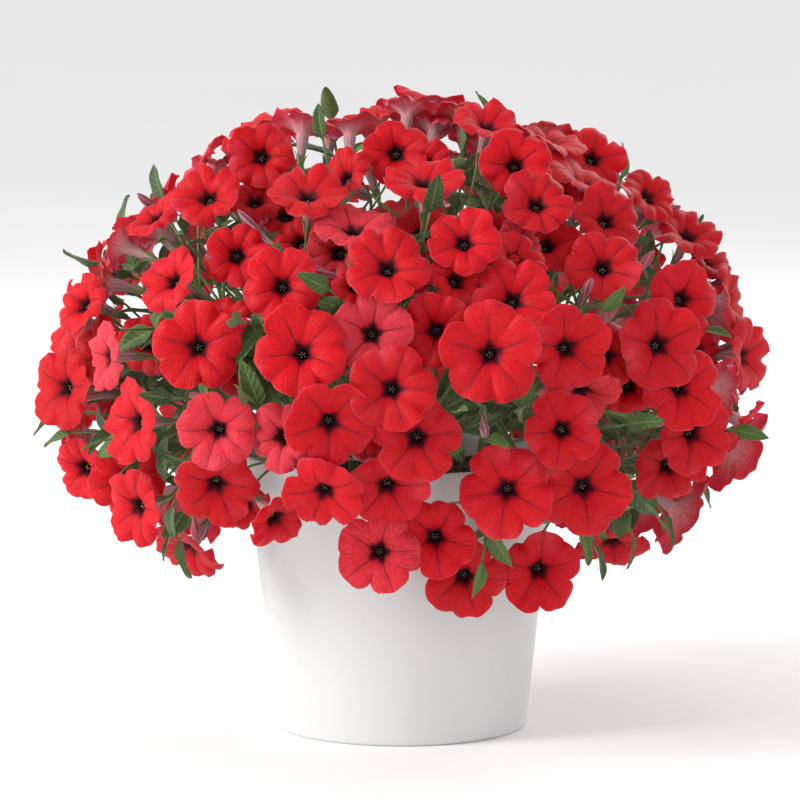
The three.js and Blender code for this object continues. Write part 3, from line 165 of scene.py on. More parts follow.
# Rings of hubs, where a spray's stalks meet: height, distance out, how many, and their seat
HUB_RINGS = [(404, 6, 1, 376, 20), (388, 90, 6, 366, 72), (345, 160, 12, 327, 140),
             (286, 192, 12, 276, 170), (236, 184, 12, 252, 164)]
HUB_HALF, GAP, STEM_FOOT = 4, 0.3, 24
INNER_TRUNK = [(38, SOIL_TOP - STEM_FOOT), (38, 212), (42, 244), (58, 318), (72, 366)]
OUTER_TRUNK = [(74, SOIL_TOP - STEM_FOOT), (74, 212), (80, 240), (112, 294), (140, 327)]
INNER_RISER = [(43, 248), (100, 298), (140, 327)]
INNER_ARCH = [(42, 240), (112, 260), (170, 276)]
OUTER_ARCH = [(78, 233), (124, 264), (170, 276)]
DROOP = [(142, 268), (164, 252)]
CROWN = [(57, 314), (34, 352), (20, 376)]


# %% [markdown]
# Vectors and draws
# Blender's own vectors are single precision, and a rule that asks "does this petal clear that
# one?" can answer differently with fewer digits. NumPy's arrays keep double precision, and they
# test all the placed blooms in one sum.

# %% Small helpers
DRAW_FACTOR, DRAW_PRIME = 16807, 2147483647


def make_draw(seed):
    """Repeatable draws between two values, from whole-number sums"""
    state = [seed]

    def draw(low, high):
        state[0] = state[0] * DRAW_FACTOR % DRAW_PRIME
        return low + (high - low) * state[0] / DRAW_PRIME
    return draw


def vector(*values):
    return np.array(values, float)


def unit(a):
    return a / math.sqrt(a @ a)


def length(a):
    return math.sqrt(a @ a)


def squared(direction, axis):
    """The part of a direction that is square to an axis, one unit long"""
    return unit(direction - axis * (direction @ axis))


def polar(angle, out, height):
    return vector(out * math.cos(angle), out * math.sin(angle), height)


def steps(start, end, count):
    return np.array([start + (end - start) * (i / count) for i in range(count + 1)])


def distances(places, point):
    return np.sqrt(((places - point) ** 2).sum(1))


def around(count):
    """Equal turns that go once round"""
    return np.arange(count) * 2 * math.pi / count


def circle(turns, x, y):
    return np.cos(turns)[:, None] * x + np.sin(turns)[:, None] * y


def stem_angle(stem):
    return stem * 2 * math.pi / STEMS


print("first draw:", round(make_draw(SEED)(0, 1), 6))


# %% [markdown]
# The mound
# The blooms' centres lie on two half ellipsoids that share their widest level: a high crown and a
# shorter skirt. Scaling each half until it is round turns "where does this line of sight meet the
# mound?" into the plain sum for a line and a ball.

# %% Mound and sight lines
def mound_point(direction, inset):
    rise = MOUND_CROWN if direction[2] > 0 else MOUND_SKIRT
    wide = MOUND_RADIUS - inset
    return direction * vector(wide, wide, rise - inset) + vector(0, 0, MOUND_LEVEL)


def mound_normal(point):
    rise = MOUND_CROWN if point[2] > MOUND_LEVEL else MOUND_SKIRT
    steep = (MOUND_RADIUS / rise) ** 2
    return unit(vector(point[0], point[1], (point[2] - MOUND_LEVEL) * steep))


def sight_line(across, down):
    line = EYE_BACK * -EYE_DISTANCE
    line[0] += (across - PICTURE / 2) * MM_PER_PIXEL
    return unit(line + EYE_UP * ((PICTURE / 2 - down) * MM_PER_PIXEL))


def mound_hit(line, inset):
    """Where a sight line meets the mound, or passes nearest to it"""
    nearest = None
    for rise in (MOUND_CROWN, MOUND_SKIRT):
        scale = vector(MOUND_RADIUS - inset, MOUND_RADIUS - inset, rise - inset)
        start = (EYE - vector(0, 0, MOUND_LEVEL)) / scale
        run = line / scale
        a, b = run @ run, start @ run
        spare = b * b - a * (start @ start - 1)
        hit = start + run * ((-b - math.sqrt(max(spare, 0))) / a)
        if (hit[2] > 0) == (rise == MOUND_CROWN):
            if spare < 0:
                hit = unit(hit)
            nearest = hit * scale + vector(0, 0, MOUND_LEVEL)
    return nearest


print("middle of the picture meets the mound at", mound_hit(sight_line(400, 400), 0).round(1))


# %% Hubs, one for each spray
def make_hubs():
    hubs = []
    for level, (height, out, count, seat_height, seat_out) in enumerate(HUB_RINGS):
        for index in range(count):
            stem = index * STEMS // count
            centre = polar(stem_angle(stem), out, height)
            seat = polar(stem_angle(stem), seat_out, seat_height)
            hubs.append({"level": level, "stem": stem, "centre": centre,
                         "axis": unit(centre - seat)})
    return hubs


hubs = make_hubs()
hub_centres = np.array([hub["centre"] for hub in hubs])


def nearest_hub(point):
    return int(np.argmin(distances(hub_centres, point)))


print("hubs:", len(hubs))


# %% [markdown]
# Keeping petals apart
# Each bloom is a shallow cone on a stalk. A bloom sinks in from the mound's surface, three
# millimetres at a time, until its rim and its stalk pass through no other cone. A physics
# simulation could push the blooms apart too, but it would be slow and hard to repeat exactly.

# %% Tests for room
def over_cones(points, centres, facings, radii, spare):
    """Height of points over cones, and whether they are inside the cones' width"""
    start = points - centres
    along = (start * facings).sum(-1)
    out = np.sqrt(np.maximum(0, (start * start).sum(-1) - along * along))
    return along - CUP_SLOPE * out, out <= radii + spare


def passes_through(points, centres, facings, radii, spare, clear):
    height, inside = over_cones(points, centres, facings, radii, spare)
    near = (inside & (np.abs(height) < clear)).any(-1)
    above = (inside & (height > 0)).any(-1)
    below = (inside & (height <= 0)).any(-1)
    return near | (above & below)


def pot_wall(height):
    return POT_FOOT_RADIUS + (POT_RIM_RADIUS - POT_FOOT_RADIUS) * height / POT_HEIGHT


def touches_pot(points):
    out, height = np.hypot(points[..., 0], points[..., 1]), points[..., 2]
    return ((height < POT_HEIGHT + POT_CLEAR) & (out < pot_wall(height) + POT_CLEAR)).any(-1)


class Placed:
    """The blooms placed so far, as arrays that grow"""
    def __init__(self):
        self.blooms = []
        self.centre = np.zeros((0, 3))
        self.facing = np.zeros((0, 3))
        self.radius = np.zeros(0)
        self.hub = np.zeros(0, int)
        self.petals = np.zeros((0, 25, 3))
        self.stalk = np.zeros((0, 11, 3))

    def add(self, bloom):
        self.blooms.append(bloom)
        self.centre = np.vstack([self.centre, bloom["centre"]])
        self.facing = np.vstack([self.facing, bloom["facing"]])
        self.radius = np.append(self.radius, bloom["radius"])
        self.hub = np.append(self.hub, bloom["hub"])
        self.petals = np.concatenate([self.petals, bloom["petals"][None]])
        self.stalk = np.concatenate([self.stalk, bloom["stalk"][None]])


def settle(bloom, centre, radius):
    """A bloom's own axes, its stalk and the points by which it is kept clear"""
    facing = bloom["facing"]
    lean = vector(0, 0, 1) if abs(facing[2]) < 0.9 else vector(0, 1, 0)
    level = squared(lean, facing)
    side = np.cross(level, facing)
    x = side * math.cos(bloom["roll"]) + level * math.sin(bloom["roll"])
    y = np.cross(facing, x)
    foot = centre + facing * -TUBE_LENGTH
    hub = nearest_hub(foot)
    rim = circle(around(12), x, y) + facing * CUP_SLOPE
    petals = np.concatenate([[centre], centre + rim * (radius * MIDDLE_RING),
                             centre + rim * radius])
    stalk = np.concatenate([steps(centre - facing * 6, foot, 3),
                            steps(foot, hub_centres[hub], 8)[1:8]])
    return {**bloom, "centre": centre, "radius": radius, "x": x, "y": y, "foot": foot,
            "hub": hub, "petals": petals, "stalk": stalk}


def conflicts(bloom, placed, squeeze=1):
    """How badly a bloom runs into those placed and the pot; squeeze lessens the room asked"""
    count = POT_FAULT if touches_pot(np.concatenate([bloom["petals"], bloom["stalk"]])) else 0
    reach = distances(placed.centre, bloom["centre"]) <= BLOOM_REACH
    if not reach.any():
        return count
    centre, facing = placed.centre[reach, None], placed.facing[reach, None]
    radius = placed.radius[reach, None]
    petals, stalk = placed.petals[reach], placed.stalk[reach]
    own = (bloom["centre"], bloom["facing"], bloom["radius"])
    petal_room = (PETAL_SPARE * squeeze, PETAL_CLEAR * squeeze)
    stalk_room = (STALK_SPARE * squeeze, STALK_CLEAR * squeeze)
    count += PETAL_FAULT * passes_through(bloom["petals"], centre, facing, radius, *petal_room).sum()
    count += PETAL_FAULT * passes_through(petals, *own, *petal_room).sum()
    count += STALK_FAULT * passes_through(bloom["stalk"], centre, facing, radius, *stalk_room).sum()
    count += STALK_FAULT * passes_through(stalk, *own, *stalk_room).sum()
    apart = ((bloom["stalk"][None, :, None] - stalk[:, None]) ** 2).sum(-1)
    near = (apart < (STALKS_APART * squeeze) ** 2).any((1, 2))
    return count + STALK_FAULT * (near & (placed.hub[reach] != bloom["hub"])).sum()


def place_bloom(bloom, start, inward, placed):
    best, fewest = None, math.inf
    for size in BLOOM_SIZES:
        for index in range(SINK_STEPS + RISE_STEPS):
            step = index if index < SINK_STEPS else SINK_STEPS - 1 - index
            tried = settle(bloom, start + inward * (step * SINK_STEP), bloom["radius"] * size)
            count = conflicts(tried, placed)
            if count < fewest:
                best, fewest = tried, count
            if count == 0:
                return best, fewest
    return best, fewest


# %% Place the blooms
def facing_of(turn, rise):
    across, up = math.radians(turn), math.radians(rise)
    return vector(math.sin(across) * math.cos(up), -math.cos(across) * math.cos(up),
                  math.sin(up))


def ball_direction(rise, angle):
    flat = math.sqrt(max(0, 1 - rise * rise))
    return vector(flat * math.cos(angle), flat * math.sin(angle), rise)


def place_listed(placed, draw):
    for across, down, width, turn, rise, layer in FRONT_BLOOMS:
        line = sight_line(across, down)
        bloom = {"facing": facing_of(turn, rise), "radius": width * MM_PER_PIXEL / 2,
                 "roll": draw(0, 2 * math.pi), "wave": draw(0, 2 * math.pi)}
        start = mound_hit(line, layer * LAYER + SURFACE_INSET)
        while math.hypot(start[0], start[1]) < CURTAIN_RADIUS and start[2] < POT_HEIGHT:
            start = start - line * SINK_STEP
        placed.add(place_bloom(bloom, start, line, placed)[0])


def place_ruled(placed, draw):
    for index in range(RULE_BLOOMS):
        rise = RULE_TOP - RULE_DROP * (index + 0.5) / RULE_BLOOMS + draw(-0.03, 0.03)
        angle = index * GOLDEN_ANGLE + draw(-0.08, 0.08)
        lean = vector(draw(-0.4, 0.4), draw(-0.4, 0.4), draw(-0.2, 0.5))
        radius = draw(*RULE_RADII)
        bloom = {"roll": draw(0, 2 * math.pi), "wave": draw(0, 2 * math.pi), "radius": radius}
        start = mound_point(ball_direction(rise, angle), draw(*RULE_INSETS))
        normal = mound_normal(start)
        limit = CROWN_HIDDEN if normal[2] > CROWN_STEEP else HIDDEN
        if normal @ EYE_BACK > limit:
            continue
        if (distances(placed.centre, start) < RULE_SPACING).any():
            continue
        bloom["facing"] = unit(normal + lean)
        best, fewest = place_bloom(bloom, start, -normal, placed)
        if fewest == 0:
            placed.add(best)


placed = Placed()
bloom_draw = make_draw(SEED)
place_listed(placed, bloom_draw)
place_ruled(placed, bloom_draw)
blooms = placed.blooms
print("blooms:", len(blooms))


# %% [markdown]
# Buds and leafy shoots
# A bud, shoot or leaf fits where its line keeps off every tube and stalk, and stays on one side
# of each cone of petals. The distance from a point to a stretch of stalk is worked out for all
# the stretches at once. Shoots go to the mound's surface first, some to listed pixels and the
# others by rule, and then to places below it, where their leaves fill the plant's inside.

# %% Tests for a clear way
class Stretches:
    """Tubes, buds and stalks as straight stretches, with how far off each must be passed"""
    def __init__(self, blooms, buds):
        both = blooms + buds
        rows = [(b["centre"], b["foot"], TUBE_MOUTH + TUBE_ROOM, -1) for b in blooms]
        rows += [(b["tip"], b["foot"], BUD_RADIUS + BUD_ROOM, -1) for b in buds]
        rows += [(b["foot"], hub_centres[b["hub"]], STALK_RADIUS + STALK_ROOM, b["hub"])
                 for b in both]
        self.start = np.array([row[0] for row in rows])
        self.run = np.array([row[1] for row in rows]) - self.start
        self.room = np.array([row[2] for row in rows])
        self.hub = np.array([row[3] for row in rows])

    def clear(self, points, own_hub=None):
        start = points[:, None] - self.start
        share = np.clip((start * self.run).sum(-1) / (self.run * self.run).sum(-1), 0, 1)
        off = np.sqrt(((start - self.run * share[..., None]) ** 2).sum(-1))
        near = (off < self.room).any(0)
        return not (near & (self.hub != own_hub)).any() if own_hub is not None else not near.any()


def is_clear(points, stretches, own_hub=None):
    if touches_pot(points):
        return False
    middle = points[0] + (points[-1] - points[0]) * 0.5
    near = distances(placed.centre, middle) < LEAF_REACH
    if near.any() and passes_through(points, placed.centre[near, None], placed.facing[near, None],
                                     placed.radius[near, None], LEAF_SPARE, LEAF_CLEAR).any():
        return False
    return stretches.clear(points, own_hub)


# %% Place the buds
def place_bud(tip, foot, inward, buds):
    stretches = Stretches(blooms, buds)
    for step in range(BUD_SINK_STEPS):
        shift = inward * (BUD_SINK_STEP * step)
        hub = nearest_hub(foot + shift)
        bud = {"tip": tip + shift, "foot": foot + shift, "hub": hub}
        stalk = steps(bud["foot"], hub_centres[hub], 10)[1:]
        if not is_clear(stalk, stretches, hub):
            continue
        if is_clear(steps(bud["tip"], bud["foot"], 5), stretches):
            return [bud]
    return []


def place_buds():
    draw, buds = make_draw(SEED + 1), []
    for tip_across, tip_down, foot_across, foot_down in FRONT_BUDS:
        line = sight_line(foot_across, foot_down)
        foot = mound_hit(line, BUD_INSET)
        way = mound_hit(sight_line(tip_across, tip_down), BUD_TIP_INSET) - foot
        reach = min(BUD_LONGEST, max(BUD_LENGTH, length(way)))
        buds += place_bud(foot + unit(way) * reach, foot, line, buds)
    for _ in range(RULE_BUDS):
        rise, angle = draw(*BUD_RISES), draw(0, 2 * math.pi)
        lean = vector(draw(-0.6, 0.6), draw(-0.6, 0.6), draw(-0.4, 0.6))
        foot = mound_point(ball_direction(rise, angle), BUD_INSET + BUD_DEEPER)
        normal = mound_normal(foot)
        if normal @ EYE_BACK <= HIDDEN:
            tip = foot + unit(normal + lean) * (BUD_LENGTH + BUD_LONGER)
            buds += place_bud(tip, foot, -normal, buds)
    return buds


buds = place_buds()
print("buds:", len(buds))


# %% Stem paths and the shoots on them
def stem_paths(stem):
    plans = ([(INNER_TRUNK, 1), (INNER_RISER, 2), (INNER_ARCH, 3), (DROOP, 4)] if stem % 2 == 0
             else [(OUTER_TRUNK, 2), (OUTER_ARCH, 3), (DROOP, 4)])
    if stem == 0:
        plans.append((CROWN, 0))
    paths = []
    for plan, level in plans:
        points = [polar(stem_angle(stem), out, height) for out, height in plan]
        points += [hub["centre"] + hub["axis"] * (-HUB_HALF - GAP)
                   for hub in hubs if (hub["stem"], hub["level"]) == (stem, level)]
        paths.append(points)
    return paths


def make_leaf(pair, base, along, up, size):
    square_up = squared(up, along)
    return {"pair": pair, "base": base, "along": along, "up": square_up,
            "side": np.cross(along, square_up), "length": size}


def leaf_point(leaf, share, aside):
    size = leaf["length"]
    return (leaf["base"] + leaf["along"] * (size * share)
            + leaf["side"] * (aside * size * LEAF_WIDTH * 0.5)
            + leaf["up"] * (-LEAF_DROOP * size * share * share))


def leaf_samples(leaf):
    spots = ((0.2, 0), (0.35, -1), (0.35, 1), (0.5, 0), (0.7, -0.8), (0.7, 0.8), (1, 0))
    return np.array([leaf_point(leaf, share, aside) for share, aside in spots])


def shoot_leaves(shoot, draw):
    """Two pairs of leaves across the shoot, each square to the other, and one at its tip"""
    seat, tip, axis = shoot["seat"], shoot["tip"], shoot["axis"]
    leaves = []
    for pair, (share, size) in enumerate(LEAF_PAIRS):
        outward = shoot["up"] if pair else shoot["side"]
        for way in (1, -1):
            tilt = draw(*PAIR_TILT)
            along = axis * math.cos(tilt) + outward * (way * math.sin(tilt))
            base = seat + (tip - seat) * share
            leaves.append(make_leaf(pair, base, along, axis, draw(*LEAF_LENGTHS) * size))
    tilt = draw(*LAST_TILT)
    along = axis * math.cos(tilt) + shoot["up"] * math.sin(tilt)
    return leaves + [make_leaf(None, tip, along, shoot["up"], draw(*LEAF_LENGTHS) * LAST_LEAF)]


def make_shoot(seat, tip, draw):
    axis = unit(tip - seat)
    level = squared(vector(tip[0], tip[1], SHOOT_LIFT), axis)
    turn = draw(-SHOOT_TURN, SHOOT_TURN)
    up = level * math.cos(turn) + np.cross(axis, level) * math.sin(turn)
    return {"seat": seat, "tip": tip, "axis": axis, "up": up, "side": np.cross(axis, up)}


def shoot_seats():
    seats = []
    for stem in range(STEMS):
        for path in stem_paths(stem):
            for start, end in zip(path, path[1:]):
                seats += [(point, stem) for point in steps(start, end, 4)[1:]]
    return [(point, stem) for point, stem in seats if point[2] > POT_HEIGHT + SEAT_ABOVE_POT
            and (distances(hub_centres, point) > HUB_ROOM).all()]


def shoot_targets(draw):
    listed_inset, ruled_inset = SHOOT_INSETS
    listed = [mound_hit(sight_line(*spot), listed_inset) for spot in FRONT_SHOOTS]
    ruled = []
    for index in range(RULE_SHOOTS):
        spot = index * SHOOT_STRIDE % RULE_SHOOTS
        rise = SHOOT_TOP - SHOOT_DROP * (spot + 0.5) / RULE_SHOOTS
        angle = spot * GOLDEN_ANGLE + draw(-0.1, 0.1)
        target = mound_point(ball_direction(rise, angle), ruled_inset)
        if mound_normal(target) @ EYE_BACK < SHOOT_SIDE:
            ruled.append(target)
    return [spot for index, target in enumerate(ruled)
            for spot in [*listed[index:index + 1], target]]


def inner_targets(draw):
    """Places below the surface, where leaves fill the plant's inside"""
    targets = []
    for index in range(INNER_TRIES):
        rise = INNER_TOP - INNER_DROP * (index * GOLDEN_SHARE % 1)
        direction = ball_direction(rise, index * GOLDEN_ANGLE)
        targets.append(mound_point(direction, draw(*INNER_INSETS)))
    return targets


def place_shoots(most, seed, targets_of, shoots):
    """Adds shoots, up to a number in all, towards the targets that a rule gives"""
    draw = make_draw(seed)
    stretches = Stretches(blooms, buds)
    seats = shoot_seats()
    for target in targets_of(draw):
        leaf_draw = make_draw(math.floor(draw(1, DRAW_PRIME - 1)))
        seats.sort(key=lambda seat: length(seat[0] - target))
        made = None
        for point, stem in seats[:SHOOT_TRIES]:
            for share in SHOOT_SHARES:
                tip = point + (target - point) * share
                if made or length(tip - point) < SHOOT_SHORTEST:
                    continue
                line = steps(point, tip, 14)[1:]
                others = [one["line"] for one in shoots]
                if not is_clear(line, stretches):
                    continue
                if any(((line[:, None] - one) ** 2).sum(-1).min() < SHOOT_CLEAR * SHOOT_CLEAR
                       for one in others):
                    continue
                made = {**make_shoot(point, tip, leaf_draw), "stem": stem, "line": line}
        if not made or len(shoots) == most:
            continue
        made["leaves"] = [leaf for leaf in shoot_leaves(made, leaf_draw)
                          if is_clear(leaf_samples(leaf), stretches)]
        if len(made["leaves"]) >= FEWEST_LEAVES:
            shoots.append(made)
    return shoots


shoots = place_shoots(SHOOTS_MOST, SEED + 2, shoot_targets, [])
shoots = place_shoots(len(shoots) + INNER_SHOOTS, SEED + 3, inner_targets, shoots)
print("shoots:", len(shoots), "leaves:", sum(len(shoot["leaves"]) for shoot in shoots))


# %% [markdown]
# Blooms tucked in behind
# Between the outer blooms a real plant shows more of its own, deeper in and smaller. They are
# tried last, at many places below the surface, the larger ones first. One stays where its cone
# keeps off other blooms, leaves, shoots and buds, and its stalk keeps off other blooms. A wavy
# rim may still touch a neighbour. The outer blooms could be larger instead, but they would soon
# run into each other.

# %% Tuck blooms in
TUCKED_TRIES, TUCKED_MOST, TUCKED_SQUEEZE = 3200, 60, 0.45
TUCKED_INSETS, TUCKED_LARGEST, TUCKED_SMALLEST = (14, 62), 27, 15
TUCKED_SPARE, TUCKED_CLEAR, TUCKED_TOP, TUCKED_DROP = 1, 2, 0.97, 1.7


def tuck_in():
    """Adds the blooms behind to those placed, and says how many there are"""
    draw = make_draw(SEED + 7)
    leaf_points = np.array([leaf_samples(leaf) for one in shoots for leaf in one["leaves"]])
    shoot_points = np.array([shoot["line"] for shoot in shoots])
    bud_points = np.array([steps(bud["foot"], bud["tip"], 6) for bud in buds])
    found = 0
    for index in range(TUCKED_TRIES):
        rise = TUCKED_TOP - TUCKED_DROP * (index * GOLDEN_SHARE % 1)
        start = mound_point(ball_direction(rise, index * GOLDEN_ANGLE), draw(*TUCKED_INSETS))
        lean = vector(draw(-0.3, 0.3), draw(-0.5, 0.1), draw(-0.2, 0.4))
        shrunk = (TUCKED_SMALLEST - TUCKED_LARGEST) * index / TUCKED_TRIES
        radius = TUCKED_LARGEST + shrunk
        bloom = {"facing": unit(mound_normal(start) + lean), "roll": draw(0, 2 * math.pi),
                 "wave": draw(0, 2 * math.pi)}
        bloom = settle(bloom, start, radius)
        if conflicts(bloom, placed, TUCKED_SQUEEZE):
            continue
        own = (bloom["centre"], bloom["facing"], radius, TUCKED_SPARE, TUCKED_CLEAR)
        if any(passes_through(points, *own).any()
               for points in (leaf_points, shoot_points, bud_points)):
            continue
        placed.add(bloom)
        found += 1
        if found == TUCKED_MOST:
            break
    return found


print("tucked in:", tuck_in())


# %% [markdown]
# Sums on shader sockets
# A material is a graph of nodes. Wiring each Math node by hand takes many lines, so a small class
# wraps a socket and lets an expression such as `1 - mask * 0.5` add the nodes by itself. Colours
# and vectors go through Mix and Vector Math, since a Math node would turn them grey.

# %% A socket that takes part in sums
class Wire:
    def __init__(self, shader, socket):
        self.shader, self.socket = shader, socket

    def __add__(self, other):
        return self.shader.math("ADD", self, other)

    def __sub__(self, other):
        return self.shader.math("SUBTRACT", self, other)

    def __rsub__(self, other):
        return self.shader.math("SUBTRACT", other, self)

    def __mul__(self, other):
        return self.shader.math("MULTIPLY", self, other)

    __radd__ = __add__
    __rmul__ = __mul__


class Shader:
    """A material, its nodes and the Principled shader that ends them"""
    def __init__(self, name, **constants):
        self.material = bpy.data.materials.new(name)
        self.material.use_nodes = True
        self.tree = self.material.node_tree
        self.surface = self.tree.nodes["Principled BSDF"]
        for socket, value in constants.items():
            self.surface.inputs[socket.replace("_", " ")].default_value = value

    def node(self, kind, settings, values, output=0):
        made = self.tree.nodes.new(kind)
        for name, value in settings.items():
            setattr(made, name, value)
        for name, value in values.items():
            self.feed(made.inputs[name], value)
        return Wire(self, made.outputs[output])

    def feed(self, socket, value):
        if isinstance(value, Wire):
            self.tree.links.new(value.socket, socket)
        elif isinstance(value, (tuple, list)) and len(value) == 3 and socket.type == "RGBA":
            socket.default_value = (*value, 1)
        else:
            socket.default_value = value

    def math(self, operation, *values):
        return self.node("ShaderNodeMath", {"operation": operation}, dict(enumerate(values)))

    def data(self, name):
        """A number that the mesh carries at each of its points"""
        return self.node("ShaderNodeAttribute", {"attribute_name": name}, {}, "Fac")

    def mix(self, share, start, end):
        return self.node("ShaderNodeMix", {"data_type": "RGBA"}, {0: share, 6: start, 7: end}, 2)

    def layered(self, colour, *layers):
        """A colour with others laid over it, each by its share"""
        for share, over in layers:
            colour = self.mix(share, colour, over)
        return colour

    def smooth(self, value, low, high):
        """0 below low, 1 above high, and a soft rise between"""
        return self.node("ShaderNodeMapRange", {"interpolation_type": "SMOOTHSTEP"},
                         {0: value, 1: low, 2: high, 3: 0, 4: 1})

    def noise(self, scale, detail=2):
        """Soft patches in the object's own space, so many to the metre"""
        place = self.node("ShaderNodeTexCoord", {}, {}, "Object")
        return self.node("ShaderNodeTexNoise", {},
                         {"Vector": place, "Scale": scale, "Detail": detail})

    def cell_edges(self, x, y, z):
        """How far a point is from the edge of its cell"""
        place = self.node("ShaderNodeCombineXYZ", {}, {0: x, 1: y, 2: z})
        return self.node("ShaderNodeTexVoronoi", {"feature": "DISTANCE_TO_EDGE"},
                         {"Vector": place, "Scale": 1})

    def finish(self, colour, roughness, height, depth):
        bump = self.node("ShaderNodeBump", {}, {"Height": height, "Distance": depth,
                                                "Strength": 1})
        for name, value in (("Base Color", colour), ("Roughness", roughness),
                            ("Normal", bump)):
            self.feed(self.surface.inputs[name], value)
        print("finish:", self.material.name, "with", len(self.tree.nodes), "nodes")
        return self.material


# %% [markdown]
# Petals
# A petunia's face is a satiny red, with five dark folds that start in a throat of near-black
# maroon, and a net of fine veins between them. The back is a duller pink that pales towards the
# tube. The mesh tells the shader where it is: how far round a lobe, how far out, and front or
# back. An image could hold the same, but numbers on the mesh stay sharp at any distance.

# %% Petal finish
def petal_finish():
    shader = Shader("petal_red", Sheen_Weight=0.05, Sheen_Roughness=0.3,
                    Sheen_Tint=(1, 0.5, 0.58, 1), Specular_IOR_Level=0.22,
                    Subsurface_Weight=0.4, Subsurface_Scale=1,
                    Subsurface_Radius=(0.004, 0.0004, 0.0006))
    fold, reach, front, tint, pollen, round_ = map(
        shader.data, ("fold", "reach", "front", "tint", "pollen", "round"))
    patches = shader.noise(55)
    fine = shader.noise(900, 3)
    net = shader.cell_edges(fold * 8 + patches * 0.8, reach * 3.2, tint * 40)
    veins = 1 - shader.smooth(net, 0.02, 0.15)
    middle = (1 - shader.smooth(fold, 0.02, 0.13)) * (1 - shader.smooth(reach, 0.4, 1))
    star = 1 - shader.smooth(reach + fold * 0.1 + patches * 0.1, 0.11, 0.32)
    sheen = shader.smooth(shader.noise(26), 0.55, 0.75)
    red = shader.layered(
        shader.mix(tint, (0.50, 0.0, 0.004), (0.68, 0.0, 0.008)),
        (shader.smooth(patches, 0.35, 0.75) * 0.3, (0.74, 0.004, 0.014)),
        (shader.smooth(tint, 0.86, 0.97) * 0.3, (0.78, 0.12, 0.17)),
        (sheen * shader.smooth(reach, 0.3, 0.8) * 0.3, (0.80, 0.10, 0.15)),
        (veins * 0.36, (0.22, 0.0, 0.008)),
        (middle * 0.7, (0.13, 0.0, 0.008)),
        (shader.smooth(reach, 0.94, 1.0) * 0.15, (0.8, 0.06, 0.08)),
        (star, (0.035, 0.0, 0.006)),
        (shader.smooth(0 - reach, 0, 0.12), (0.012, 0.0, 0.004)))
    stripes = shader.smooth(shader.math("SINE", round_ * 60), 0.1, 0.9)
    tube = shader.mix(stripes * 0.5, (0.60, 0.36, 0.36), (0.34, 0.05, 0.10))
    back = shader.layered(
        shader.mix(shader.smooth(reach, -0.2, 0.8), (0.78, 0.46, 0.48), (0.70, 0.07, 0.12)),
        (veins * 0.4, (0.45, 0.02, 0.07)),
        ((1 - shader.smooth(fold, 0.05, 0.2)) * 0.3, (0.42, 0.05, 0.10)),
        (shader.smooth(0 - reach, 0.05, 0.35), tube))
    colour = shader.layered(back, (front, red), (pollen, (0.40, 0.30, 0.20)))
    height = fine * 0.25 - veins * 0.55 - middle * 0.5
    roughness = 0.46 + fine * 0.16 - veins * 0.06
    return shader.finish(colour, roughness, height, 0.0004)


PETAL = petal_finish()


# %% [markdown]
# Buds
# A furled bud is twisted, and its petals' backs show as stripes of greyish purple and maroon
# that wind towards the tip, green at the foot.

# %% Bud finish
def bud_finish():
    shader = Shader("bud_striped", Sheen_Weight=0.3, Sheen_Roughness=0.5,
                    Subsurface_Weight=0.05, Subsurface_Radius=(0.003, 0.001, 0.001))
    furl, reach, tint = map(shader.data, ("fold", "reach", "tint"))
    fine = shader.noise(1400, 3)
    ridge = shader.smooth(furl, 0.35, 0.85)
    colour = shader.mix(ridge, (0.12, 0.015, 0.04), (0.36, 0.13, 0.17))
    colour = shader.mix(tint * 0.6, colour, (0.48, 0.02, 0.05))
    colour = shader.mix(1 - shader.smooth(reach, 0.05, 0.4), colour, (0.25, 0.30, 0.12))
    return shader.finish(colour, 0.5 + fine * 0.2, ridge * 0.8 + fine * 0.4, 0.0005)


BUD = bud_finish()


# %% [markdown]
# Leaves
# The blades are soft and slightly sticky, dark above and paler below, with a pale midrib from
# which side veins curve forward. The veins are where the sum of "how far along" and "how far
# across" comes to a whole number, so they need no texture at all. Fine noise stands for the down.

# %% Leaf finish
def leaf_finish():
    shader = Shader("leaf_green", Sheen_Weight=0.22, Sheen_Roughness=0.5,
                    Sheen_Tint=(0.85, 1, 0.7, 1), Specular_IOR_Level=0.4,
                    Subsurface_Weight=0.15, Subsurface_Scale=1,
                    Subsurface_Radius=(0.0006, 0.001, 0.0002))
    across, along, top, tint, woody = map(
        shader.data, ("across", "along", "front", "tint", "woody"))
    aside = shader.math("ABSOLUTE", across)
    patches = shader.noise(40)
    fine = shader.noise(1100, 3)
    lines = shader.math("PINGPONG", along * 7 - aside * 1.5 + patches * 0.25, 0.5)
    side_veins = (1 - shader.smooth(lines, 0.03, 0.12)) * (1 - shader.smooth(aside, 0.75, 1))
    midrib = 1 - shader.smooth(aside, 0.03, 0.13)
    veins = side_veins * 0.5 + midrib * (1 - side_veins * 0.5)
    quilt = shader.smooth(lines, 0.05, 0.5)
    green = shader.mix(tint, (0.014, 0.038, 0.008), (0.080, 0.160, 0.022))
    green = shader.mix(shader.smooth(patches, 0.3, 0.7) * 0.5, green, (0.028, 0.062, 0.011))
    green = shader.mix(veins * 0.55, green, (0.19, 0.30, 0.08))
    below = shader.mix(veins * 0.5, (0.10, 0.16, 0.05), (0.18, 0.27, 0.09))
    stalk = shader.mix(fine, (0.05, 0.10, 0.018), (0.12, 0.18, 0.045))
    colour = shader.mix(woody, shader.mix(top, below, green), stalk)
    height = quilt * 0.6 - veins * 0.5 + fine * 0.35
    return shader.finish(colour, 0.44 + fine * 0.22, height, 0.0005)


LEAF = leaf_finish()


# %% [markdown]
# Stalks and sepals
# They are a lighter, yellower green than the blades, and downy.

